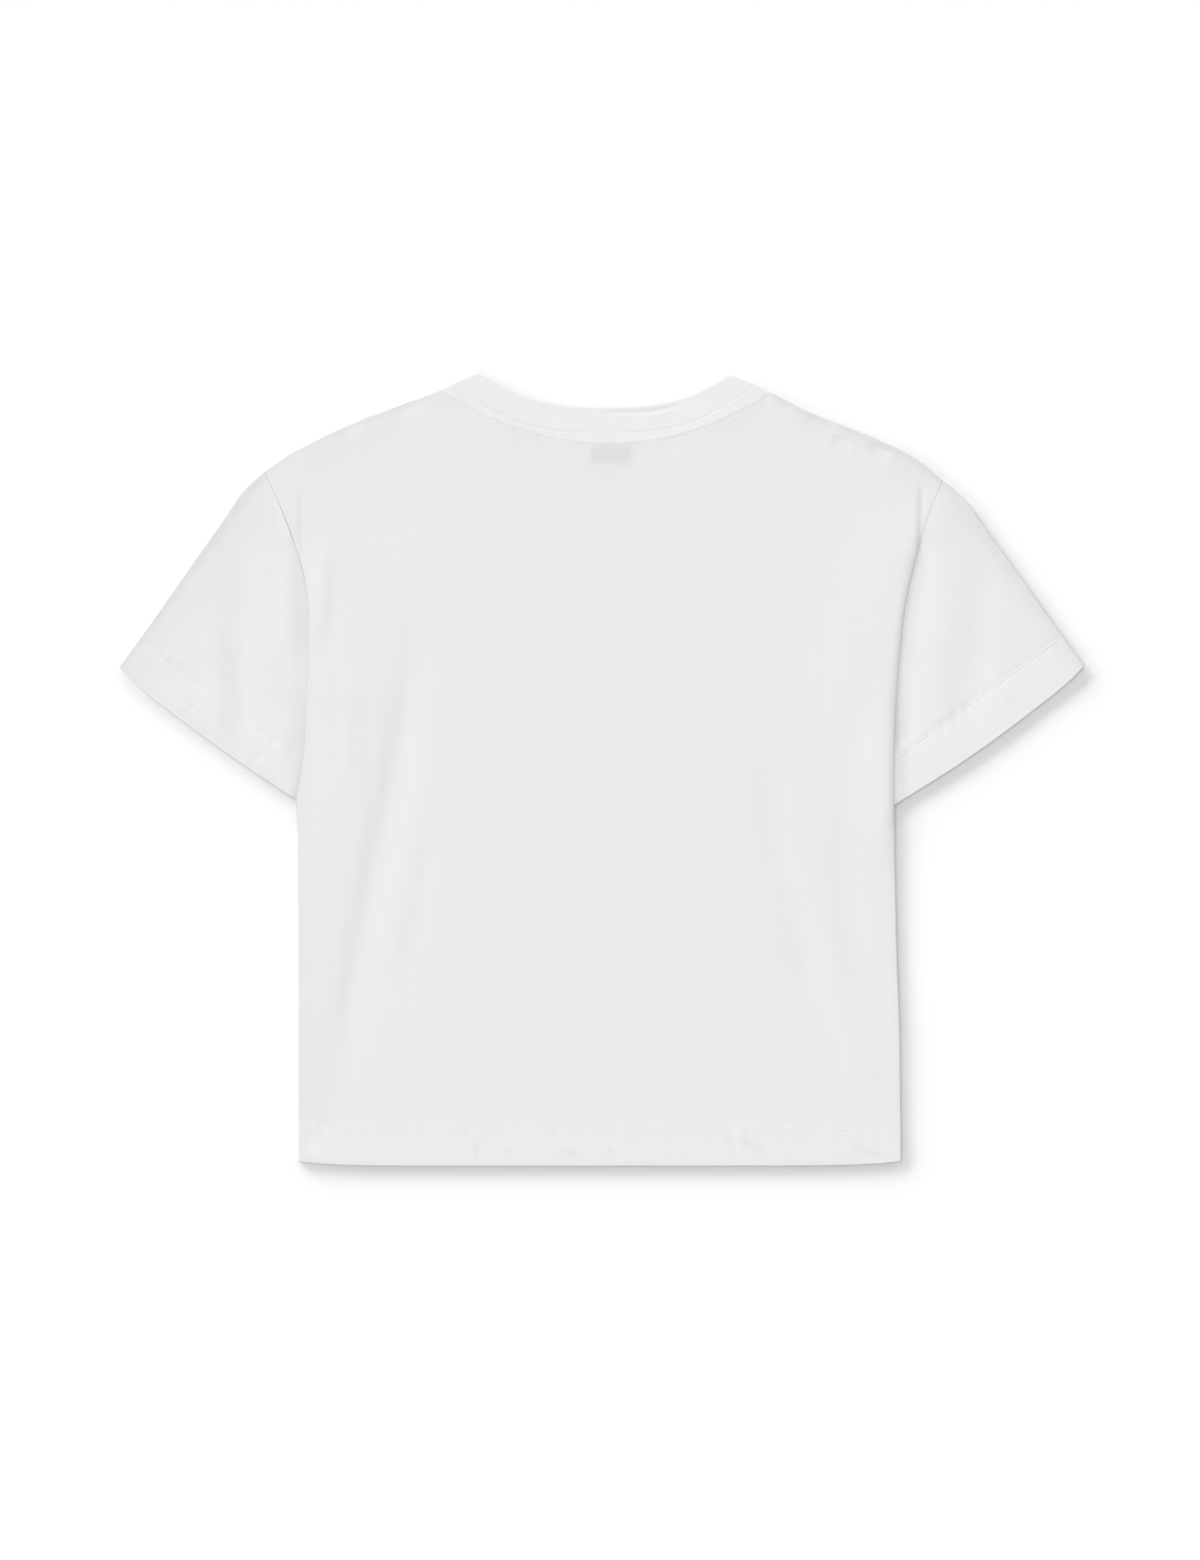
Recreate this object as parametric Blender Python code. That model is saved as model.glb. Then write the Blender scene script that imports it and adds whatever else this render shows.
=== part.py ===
"""A cropped, boxy crew-neck T-shirt of white jersey, laid out flat and face down, its back up.

Run it with: blender --background --python part.py

+X runs across the shirt, +Y from hem to neck, and +Z up from the surface that it lies on.
Sizes are in millimetres until a mesh is made. A place on the shirt is how far it is across
from the centre line, and how high it is above the lowest point of the hem. Left and right
are as seen from above.
"""

from collections import namedtuple

import bmesh
import bpy
import numpy as np

MM = 0.001

# Overall
LENGTH = 602.0  # from the lowest point of the hem to the top of the collar
HEM_SAG = 3.6  # how far the hem's middle hangs below its corners
HEM_DEPTH = 26.0  # turned-up cloth at the bottom
CUFF_DEPTH = 27.0  # turned-up cloth at the end of a sleeve

# Thickness of the walls, and the clearance between pieces
CLOTH = 1.2
TURNED = 2.0  # a hem's doubled cloth
RIB = 2.0  # the collar's doubled rib
TAPE = 1.0
LABEL = 1.0
GAP = 0.3
FACE_GAP = 1.5 * GAP  # between faces that lie on each other, whose facets differ a little
SEAM_GAP = 1.2 * GAP  # between edges that meet at a seam
THIN_EDGE = 0.6  # a wall at the outline, where its edge is rounded off
ROUND_OFF = 1.5  # how far in that rounding reaches
HEM_FOLD = 0.4  # how far round it a hem's fold already is at its edge

# How the layers lie
LOFT = 1.6  # how far the back floats above touching the front
SLEEVE_LOFT = 1.3  # the same between a sleeve's two layers
LOFT_REACH = 30.0  # how far from a sleeve's folds it is full
ARMHOLE_REACH = 18.0  # and how far from the body's edge
FOLD_REACH = 20.0  # how far from a sleeve's outer folds its soft folds are full
HEM_LOFT = 0.3  # share of the loft that a sleeve's stiffer hem keeps
HEM_FOLDS = 0.4  # share of the soft folds that it keeps
CUFF_BOWS_OUT = 2.5  # how far a cuff stands out past the line from tip to underarm
ROUND_EDGE = 5.0  # how far in the roundness of a side or shoulder reaches
ARMHOLE_SLOPE = 28.0  # how far in the back comes down from lying over a sleeve
ARMHOLE_PUFF = 0.5  # how far the back stands proud just inside that edge
PUFF_REACH = 8.0
NECK_SLOPE = 42.0  # how far in the back comes down from lying over collar and tape
NECK_CORNER = 7.0  # how soon beside the neck's end the back lies at its full height
SHOULDER_CORNER = 18.0  # how soon beside the neck's end the shoulder lies on the front
STACK_START = 0.4  # share of the way from the neck's middle at which collar lies on collar
STACK_RAMP = 0.35  # share over which it gets there

# How a sleeve's end is tucked in between front and back, from the underarm up
TUCK = 8.0  # how far in it reaches
TUCK_TOP = 462.0  # height up to which it is tucked in; above this the seam lies open
TUCK_RAMP = 18.0
TUCK_BLEND = 40.0  # height over which the sleeve's sewn end moves out to the open seam
TUCK_START = 16.0  # how far below TUCK_TOP that begins
TUCK_CLEAR = 3.0  # how far outside the front's edge the sleeve starts to come down
TUCK_FALL = 12.5  # how far out it lies on the surface
UNDERARM_RAMP = 14.0
UNDERARM_RISE = 10.0
UNDERARM_SEAM = 16.0  # height of the hidden end of the seam above the underarm
UNDERARM_BLEND = 0.12  # share of the sewn end over which it reaches that place

Corner = namedtuple("Corner", "left_x left_height right_x right_height")
HEM_CORNER = Corner(230.5, 3.6, 227.0, 3.8)
UNDERARM = Corner(231.4, 277.3, 221.5, 273.5)
SHOULDER_POINT = Corner(255.7, 526.2, 258.0, 519.4)
SLEEVE_TIP = Corner(365.5, 378.4, 365.5, 378.8)

# How far an edge leaves the straight line between its two corners, at shares of its length
Bow = namedtuple("Bow", "share left right")
SIDE_BOW = (Bow(0.5, 0.5, 1.3),)  # inwards
ARMHOLE_BOW = (  # inwards
    Bow(0.13, 7.0, 5.5),
    Bow(0.29, 12.5, 10.3),
    Bow(0.45, 18.5, 13.0),
    Bow(0.61, 22.3, 14.5),
    Bow(0.71, 20.5, 12.9),
    Bow(0.81, 14.8, 10.0),
    Bow(0.90, 8.6, 6.3),
)
SHOULDER_BOW = (  # upwards, from neck to sleeve
    Bow(0.27, 2.8, 1.2),
    Bow(0.50, 5.4, 4.4),
    Bow(0.72, 5.3, 6.3),
    Bow(0.88, 3.6, 4.7),
)
SLEEVE_TOP_BOW = (  # upwards, from shoulder to cuff
    Bow(0.11, 4.0, 3.0),
    Bow(0.25, 3.3, 3.3),
    Bow(0.50, 2.0, 2.9),
    Bow(0.75, 0.7, 1.3),
)
CUFF_BOW = (  # outwards, from tip to underarm
    Bow(0.08, 2.3, 1.5),
    Bow(0.30, 2.9, 3.0),
    Bow(0.65, 2.0, 3.0),
)

# Lines round the neck. Each back line rises from its middle to its ends as a power of the
# distance; each front line is half an ellipse that hangs from the same ends.
NeckLine = namedtuple("NeckLine", "left_x left_height right_x right_height middle left_power right_power")
NECK_CENTRE = 2.2
BACK_INNER = NeckLine(93.8, 600.6, 98.3, 600.0, 575.4, 2.6, 2.85)
BACK_SEAM = NeckLine(110.2, 591.6, 114.6, 590.6, 558.2, 2.1, 2.8)
TAPE_EDGE = NeckLine(122.0, 589.7, 125.0, 584.7, 548.9, 1.9, 2.35)
FRONT_INNER_MIDDLE = 507.0
FRONT_SEAM_MIDDLE = 489.0
FOLD_BULGE = 1.5  # how far a tube's fold stands out beyond the ends of its layers

# Across the collar's band, from its fold to its seam: how thick the doubled rib is
Band = namedtuple("Band", "share thick")
COLLAR_BANDS = (Band(0.0, 1.1), Band(0.07, RIB), Band(0.5, RIB), Band(0.93, RIB), Band(1.0, 1.6))
COLLAR_LOWEST = 1.0  # the back half of the collar is never lower than this

TAPE_INSET = 12.0  # how far from the ends of the collar's seam the tape stops
LABEL_WIDTH = 32.0
LABEL_DROP = 14.0
LABEL_X = 7.2

# Folds run mostly up and down. Each is a soft ridge, or a trough if rise is negative, whose
# middle passes through three places.
Fold = namedtuple("Fold", "rise width top_x top_h mid_x mid_h low_x low_h")
BODY_FOLDS = (
    Fold(-1.3, 13.0, -144.0, 398.0, -168.0, 240.0, -222.0, 20.0),
    Fold(-0.8, 10.0, -126.0, 264.0, -135.0, 212.0, -156.0, 124.0),
    Fold(-1.2, 13.0, 141.0, 282.0, 149.0, 195.0, 178.0, 92.0),
    Fold(0.8, 12.0, 167.0, 206.0, 181.0, 122.0, 208.0, 44.0),
    Fold(-1.2, 14.0, 212.0, 434.0, 186.0, 296.0, 191.0, 176.0),
    Fold(0.7, 8.0, -208.0, 460.0, -212.5, 430.0, -217.0, 398.0),
)
SLEEVE_FOLDS = (
    Fold(-1.0, 16.0, -275.0, 447.0, -273.0, 392.0, -274.0, 316.0),
    Fold(1.2, 11.0, -241.0, 442.0, -239.0, 370.0, -241.0, 290.0),
    Fold(1.2, 14.0, 268.0, 480.0, 268.0, 410.0, 256.0, 338.0),
    Fold(-0.9, 14.0, 292.0, 464.0, 287.0, 395.0, 273.0, 320.0),
)
FOLD_FADE = 0.3  # share of a fold's length over which each end dies away

# Spacing of the mesh
EDGE_STEPS = (0.0, 1.5, 4.0, 9.0, 17.0)  # distances from an edge that is rounded off
HEM_STEP = 1.0
HEM_STEPS = (0.0, HEM_STEP, HEM_DEPTH - HEM_STEP, HEM_DEPTH + HEM_STEP)  # from a hem's fold
CUFF_STEPS = (0.0, HEM_STEP, CUFF_DEPTH - HEM_STEP, CUFF_DEPTH + HEM_STEP)
UNDERARM_STEPS = (0.0, 12.0, 24.0)  # distances below the underarm
SLEEVE_STEPS = (0.0, 9.0, 16.0)  # distances from a sleeve's sewn end
SHOULDER_COLUMNS = 6
NECK_COLUMNS = 18
SIDE_ROWS = 10
ARMHOLE_ROWS = 9
SLEEVE_LENGTHS = 9
TAPE_COLUMNS = 24
LABEL_COLUMNS = 4
STRIP_ROWS = 2
ARC_STEPS = 4
OUTLINE_STEPS = 240
SEAM_LENGTH = 272.0  # rough lengths of the edges along which steps are given
ARMHOLE_LENGTH = 250.0
SHOULDER_LENGTH = 150.0
SLEEVE_LENGTH = 184.0

WHITE = (0.83, 0.83, 0.845, 1.0)
RIB_WHITE = (0.86, 0.86, 0.87, 1.0)
LABEL_GREY = (0.45, 0.45, 0.47, 1.0)
MATTE = 0.9

SIDES = {"left": -1.0, "right": 1.0}


# Curves

def ease(share):
    """From 0 to 1 with no corner at either end."""
    share = np.clip(share, 0.0, 1.0)
    return share * share * (3.0 - 2.0 * share)


def quarter_round(share):
    """From 0 to 1 as a quarter circle rises from its edge."""
    share = np.clip(share, 0.0, 1.0)
    return np.sqrt(1.0 - (1.0 - share) ** 2)


def mix(first, second, share):
    return first + (second - first) * share


def smooth_through(places, values, at):
    """A smooth curve's value at `at`, where it passes through the values at these places."""
    places = np.asarray(places, float)
    values = np.asarray(values, float)
    slopes = np.gradient(values, places)
    low = np.clip(np.searchsorted(places, at) - 1, 0, len(places) - 2)
    step = places[low + 1] - places[low]
    t = (at - places[low]) / step
    turn = values[low] * (1.0 + 2.0 * t) * (1.0 - t) ** 2
    turn = turn + slopes[low] * step * t * (1.0 - t) ** 2
    turn = turn + values[low + 1] * (3.0 - 2.0 * t) * t**2
    return turn + slopes[low + 1] * step * (t - 1.0) * t**2


def corner(places, side):
    """Where this corner is on this side, as across and height."""
    x = getattr(places, side + "_x")
    return np.array((SIDES[side] * x, getattr(places, side + "_height")))


def bowed(start, end, rows, side, outwards):
    """The curve from start to end that leaves the straight line by the bow of these rows.
    outwards is 1 to bow to the left of the direction of travel and -1 to the right."""
    shares = [0.0, *(row.share for row in rows), 1.0]
    bows = [0.0, *(getattr(row, side) for row in rows), 0.0]
    along = end - start
    normal = outwards * np.array((-along[1], along[0])) / np.hypot(*along)

    def curve(share):
        share = np.asarray(share, float)
        bow = smooth_through(shares, bows, share)
        return start + share[..., None] * along + bow[..., None] * normal

    return curve


def joined(first, second, at):
    """Two curves end to end, the second from share `at` on."""

    def curve(share):
        share = np.asarray(share, float)
        low = first(np.clip(share / at, 0.0, 1.0))
        high = second(np.clip((share - at) / (1.0 - at), 0.0, 1.0))
        return np.where((share < at)[..., None], low, high)

    return curve


def patch(bottom, top, left, right, across, up, reach=1.0):
    """Places of a grid that fills the space between four edge curves. The bends of the left
    and right edges die away over this share of the way across."""
    u = across[None, :, None]
    v = up[:, None, None]
    low, high = bottom(across)[None], top(across)[None]
    near = left(up)[:, None] - mix(low[:, :1], high[:, :1], v)
    far = right(up)[:, None] - mix(low[:, -1:], high[:, -1:], v)
    near_share = np.clip(1.0 - u / reach, 0.0, 1.0)
    far_share = np.clip(1.0 - (1.0 - u) / reach, 0.0, 1.0)
    return mix(low, high, v) + near * near_share + far * far_share


def stations(length, start_steps, count, end_steps):
    """Shares of a length: the given distances from each end, and even steps between."""
    start = np.array(start_steps) / length
    end = 1.0 - np.array(end_steps[::-1]) / length
    even = np.linspace(start[-1], end[0], count + 1)[1:-1]
    return np.concatenate((start, even, end))


# Outline

def side_edge(side):
    """Outline of the body on this side, from the hem's corner up to the shoulder point."""
    bottom, underarm = corner(HEM_CORNER, side), corner(UNDERARM, side)
    shoulder = corner(SHOULDER_POINT, side)
    inwards = SIDES[side]
    seam = bowed(bottom, underarm, SIDE_BOW, side, inwards)
    armhole = bowed(underarm, shoulder, ARMHOLE_BOW, side, inwards)
    return joined(seam, armhole, UNDERARM_SHARE)


def shoulder_edge(side, start):
    """From the neck out to the shoulder point."""
    upwards = SIDES[side]
    return bowed(start, corner(SHOULDER_POINT, side), SHOULDER_BOW, side, upwards)


def hem_edge(share):
    start, end = corner(HEM_CORNER, "left"), corner(HEM_CORNER, "right")
    share = np.asarray(share, float)
    line = start + share[..., None] * (end - start)
    line[..., 1] -= HEM_SAG * 4.0 * share * (1.0 - share)
    return line


def neck_height(line, x):
    """Height of a line round the back of the neck, at x."""
    left = -line.left_x - NECK_CENTRE
    right = line.right_x - NECK_CENTRE
    out = x - NECK_CENTRE
    left_rise = (line.left_height - line.middle) * np.abs(np.minimum(out, 0.0) / left) ** line.left_power
    right_rise = (line.right_height - line.middle) * (np.maximum(out, 0.0) / right) ** line.right_power
    return line.middle + left_rise + right_rise


def back_neck(line, drop=0.0):
    """A line round the back of the neck, from left to right, moved down by drop."""

    def curve(share):
        x = mix(-line.left_x, line.right_x, np.asarray(share, float))
        return np.stack((x, neck_height(line, x) - drop), axis=-1)

    return curve


def front_neck(line, middle, drop=0.0):
    """Half an ellipse that hangs down in front from the ends of a back line."""

    def curve(share):
        angle = (np.asarray(share, float) - 0.5) * np.pi
        half = mix(line.left_x, line.right_x, 0.5) + drop
        x = mix(-line.left_x, line.right_x, 0.5) + half * np.sin(angle)
        top = mix(line.left_height, line.right_height, 0.5 + 0.5 * np.sin(angle))
        return np.stack((x, top - (top - middle + drop) * np.cos(angle)), axis=-1)

    return curve


def top_edge(neck):
    """Outline of a panel's top, from the left shoulder round the neck to the right."""
    left = shoulder_edge("left", neck(0.0))
    right = shoulder_edge("right", neck(1.0))

    def curve(share):
        share = np.asarray(share, float)
        first, last = NECK_START, NECK_END
        low = left(np.clip(1.0 - share / first, 0.0, 1.0))
        middle = neck(np.clip((share - first) / (last - first), 0.0, 1.0))
        high = right(np.clip((share - last) / (1.0 - last), 0.0, 1.0))
        inner = np.where((share <= last - 1e-9)[..., None], middle, high)
        return np.where((share <= first + 1e-9)[..., None], low, inner)

    return curve


# Shares of a panel's edges at which they turn a corner
TOP_WIDTH = SHOULDER_POINT.left_x + SHOULDER_POINT.right_x
NECK_START = (SHOULDER_POINT.left_x - BACK_SEAM.left_x) / TOP_WIDTH
NECK_END = 1.0 - (SHOULDER_POINT.right_x - BACK_SEAM.right_x) / TOP_WIDTH
UNDERARM_SHARE = 0.52
ARMHOLE_SHARES = stations(ARMHOLE_LENGTH, (0.0, 6.0), ARMHOLE_ROWS, EDGE_STEPS)


def body_edge_x(side, height):
    """How far out the body's outline is on this side, at a height."""
    line = side_edge(side)(np.linspace(0.0, 1.0, OUTLINE_STEPS))
    return np.interp(height, line[:, 1], np.abs(line[:, 0]))


def cuff_edge(side):
    """Outline of a sleeve's end, from the tip to the place where it goes in under the body."""
    return bowed(corner(SLEEVE_TIP, side), corner(UNDERARM, side), CUFF_BOW, side, SIDES[side])


def sleeve_top_edge(side):
    """From the shoulder point down to the tip."""
    return bowed(corner(SHOULDER_POINT, side), corner(SLEEVE_TIP, side), SLEEVE_TOP_BOW, side, SIDES[side])


# Heights of the layers

def relief(folds, x, height):
    """Rise of the cloth that the folds give."""
    total = np.zeros_like(x)
    for fold in folds:
        places = (fold.low_h, fold.mid_h, fold.top_h)
        near = np.clip(height, fold.low_h, fold.top_h)
        middle = smooth_through(places, (fold.low_x, fold.mid_x, fold.top_x), near)
        length = fold.top_h - fold.low_h
        inside = np.minimum(height - fold.low_h, fold.top_h - height) / (FOLD_FADE * length)
        total = total + fold.rise * ease(inside) * np.exp(-(((x - middle) / fold.width) ** 2))
    return total


def over_sleeve(height):
    """1 where the back lies over a tucked-in sleeve end, 0 clear of it."""
    low = min(UNDERARM.left_height, UNDERARM.right_height) - TUCK
    rise = ease((height - low + UNDERARM_RAMP) / UNDERARM_RISE)
    return rise * ease((TUCK_TOP + TUCK_RAMP - height) / TUCK_RAMP)


def turned_up(distance, depth):
    """1 on the doubled cloth of a hem this deep, 0 above it."""
    return 1.0 - ease((distance - depth + HEM_STEP) / (2.0 * HEM_STEP))


def panel_wall(from_hem):
    return mix(CLOTH, TURNED, turned_up(from_hem, HEM_DEPTH))


def neck_under(x):
    """Underside of the back along the collar: over the front collar and tape near the sides
    of the neck, and lower in the middle, where only the tape is below."""
    out = np.abs(x - NECK_CENTRE) / mix(BACK_SEAM.left_x, BACK_SEAM.right_x, 0.5)
    over_tape = TAPE + 2.0 * FACE_GAP
    return over_tape + RIB * ease((out - STACK_START) / STACK_RAMP)


def back_under(x, height, from_side, from_top, from_hem, at_neck):
    """Underside of the back panel. from_side is how far in it is from either outline."""
    under = CLOTH + GAP + LOFT + relief(BODY_FOLDS, x, height)
    near_hem = 1.0 - ease((from_hem - HEM_DEPTH) / HEM_DEPTH)
    under = mix(under, TURNED + 2.0 * GAP, near_hem)
    over = over_sleeve(height)
    armhole = ease((height - UNDERARM.left_height) / TUCK)
    stack = 3.0 * CLOTH + GAP + 2.0 * FACE_GAP
    edge = mix(panel_wall(from_hem) + FACE_GAP, CLOTH + FACE_GAP, armhole)
    edge = mix(edge, stack, over)
    reach = mix(mix(ROUND_EDGE, 2.0 * ROUND_EDGE, armhole), ARMHOLE_SLOPE, over)
    puff = ARMHOLE_PUFF * over * (from_side / PUFF_REACH) * np.exp(1.0 - from_side / PUFF_REACH)
    rise = mix(quarter_round(from_side / reach), ease(from_side / reach), over)
    under = mix(edge, under, rise) + puff
    beside_neck = np.minimum(np.abs(x + BACK_SEAM.left_x), np.abs(x - BACK_SEAM.right_x))
    beside = ease(beside_neck / SHOULDER_CORNER)
    shoulder = mix(neck_under(x) - 2.0 * GAP, CLOTH + FACE_GAP, beside)
    neck = mix(shoulder, neck_under(x), ease(beside_neck / NECK_CORNER))
    top = np.where(at_neck, neck, shoulder)
    slope = np.where(at_neck, NECK_SLOPE, ROUND_EDGE)
    rise = np.where(at_neck, ease(from_top / slope), quarter_round(from_top / slope))
    lowest = np.minimum(top, under)
    return np.where(at_neck, mix(top, under, rise), mix(lowest, under, rise))


# Meshes

def add_object(name, places, faces, material):
    """One closed mesh, from places in millimetres and heights above the hem."""
    build = bmesh.new()
    centre = np.array((0.0, LENGTH / 2.0, 0.0))
    corners = [build.verts.new(place) for place in (places - centre) * MM]
    for face in faces:
        build.faces.new([corners[i] for i in face])
    bmesh.ops.recalc_face_normals(build, faces=build.faces)
    mesh = bpy.data.meshes.new(name)
    build.to_mesh(mesh)
    build.free()
    mesh.materials.append(material)
    mesh.shade_smooth()
    mesh.set_sharp_from_angle(angle=np.radians(50.0))
    made = bpy.data.objects.new(name, mesh)
    bpy.context.scene.collection.objects.link(made)
    return made


def wall(name, plan, under, over, material):
    """A closed wall between an underside and a top that share one grid."""
    rows, columns = under.shape
    low = np.concatenate((plan, under[..., None]), axis=-1).reshape(-1, 3)
    high = np.concatenate((plan, over[..., None]), axis=-1).reshape(-1, 3)
    index = np.arange(rows * columns).reshape(rows, columns)
    faces = []
    for i in range(rows - 1):
        for j in range(columns - 1):
            face = (index[i, j], index[i, j + 1], index[i + 1, j + 1], index[i + 1, j])
            faces.append(tuple(k + len(low) for k in face))
            faces.append(face[::-1])
    rim = [*index[0, :], *index[1:, -1], *index[-1, -2::-1], *index[-2:0:-1, 0]]
    for a, b in zip(rim, rim[1:] + rim[:1]):
        faces.append((a, b, b + len(low), a + len(low)))
    return add_object(name, np.concatenate((low, high)), faces, material)


def flat_tube(name, outer, inner, material):
    """A flattened tube from rings of outer and inner places, one pair for each length."""
    lengths, around, _ = outer.shape
    places = np.concatenate((outer.reshape(-1, 3), inner.reshape(-1, 3)))
    index = np.arange(lengths * around).reshape(lengths, around)
    skin = lengths * around
    faces = []
    for j in range(around):
        k = (j + 1) % around
        for i in range(lengths - 1):
            face = (index[i, j], index[i, k], index[i + 1, k], index[i + 1, j])
            faces.append(face)
            faces.append(tuple(corner + skin for corner in face[::-1]))
        for i in (0, lengths - 1):
            faces.append((index[i, j], index[i, k], index[i, k] + skin, index[i, j] + skin))
    return add_object(name, places, faces, material)


def ring(upper, lower, ends, walls, heights):
    """Outer and inner places round one length of a flattened tube. upper and lower are plans
    from the first fold to the second, ends the outward directions of those folds, walls the
    thickness along upper and lower, and heights the outside of both."""
    (thick_high, thick_low), (top, bottom) = walls, heights
    loops = []
    for inset in (0.0, 1.0):
        high, low = top - inset * thick_high, bottom + inset * thick_low
        loop = [np.column_stack((lower, low))]
        for at, way in ((-1, ends[1]), (0, ends[0])):
            middle = (high[at] + low[at]) / 2.0
            half = (high[at] - low[at]) / 2.0
            bulge = mix(FOLD_BULGE, GAP, inset)
            angles = np.linspace(-0.5, 0.5, ARC_STEPS + 1)[1:-1] * np.pi * (1.0 if at else -1.0)
            foot = (lower[at] + upper[at]) / 2.0
            arc = [
                (*(foot + way * bulge * np.cos(a)), middle + half * np.sin(a))
                for a in angles
            ]
            loop.append(np.array(arc))
            if at:
                loop.append(np.column_stack((upper, high))[::-1])
        loops.append(np.concatenate(loop))
    return loops


# Pieces

def panel_grid(neck):
    """Plan of a panel, how far each place is in from its edges, and which columns end at the neck."""
    shoulder = stations(SHOULDER_LENGTH, EDGE_STEPS, SHOULDER_COLUMNS, (0.0,))
    across = np.concatenate((
        shoulder * NECK_START,
        mix(NECK_START, NECK_END, np.linspace(0.0, 1.0, NECK_COLUMNS + 1))[1:-1],
        (1.0 - (1.0 - NECK_END) * shoulder)[::-1],
    ))
    lower = stations(SEAM_LENGTH, HEM_STEPS, SIDE_ROWS, UNDERARM_STEPS)
    up = np.concatenate((lower * UNDERARM_SHARE, mix(UNDERARM_SHARE, 1.0, ARMHOLE_SHARES)[1:]))
    sides = side_edge("left"), side_edge("right")
    plan = patch(hem_edge, top_edge(neck), *sides, across, up, reach=NECK_START)
    edges = (plan[:, :1], plan[:, -1:], plan[-1:], plan[:1])
    left, right, from_top, from_hem = (np.linalg.norm(plan - edge, axis=-1) for edge in edges)
    at_neck = (across > NECK_START - 1e-9) & (across < NECK_END + 1e-9)
    at_neck = np.broadcast_to(at_neck, plan.shape[:2])
    return plan, np.minimum(left, right), from_top, from_hem, at_neck


def back_panel(material):
    neck = back_neck(BACK_SEAM, drop=SEAM_GAP)
    plan, from_side, from_top, from_hem, at_neck = panel_grid(neck)
    x, height = plan[..., 0], plan[..., 1]
    under = back_under(x, height, from_side, from_top, from_hem, at_neck)
    thick = panel_wall(from_hem)
    open_seam = ease((height - TUCK_TOP) / TUCK_RAMP)
    edge = np.minimum(from_side + ROUND_OFF * open_seam, np.where(at_neck, LENGTH, from_top))
    edge = np.minimum(edge, ROUND_OFF * from_hem / HEM_STEP + HEM_FOLD)
    thick = mix(THIN_EDGE, thick, quarter_round(edge / ROUND_OFF))
    return wall("back_panel", plan, under, under + thick, material)


def front_panel(material):
    neck = front_neck(BACK_SEAM, FRONT_SEAM_MIDDLE, drop=SEAM_GAP)
    plan, from_side, from_top, from_hem, at_neck = panel_grid(neck)
    height = plan[..., 1]
    over = panel_wall(from_hem)
    open_seam = ease((height - UNDERARM.left_height + UNDERARM_RAMP) / UNDERARM_RAMP)
    edge = np.minimum(from_side + ROUND_OFF * open_seam, np.where(at_neck, LENGTH, from_top))
    rise = (1.0 - quarter_round(edge / ROUND_OFF)) * (CLOTH - THIN_EDGE)
    return wall("front_panel", plan, rise, over, material)


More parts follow.
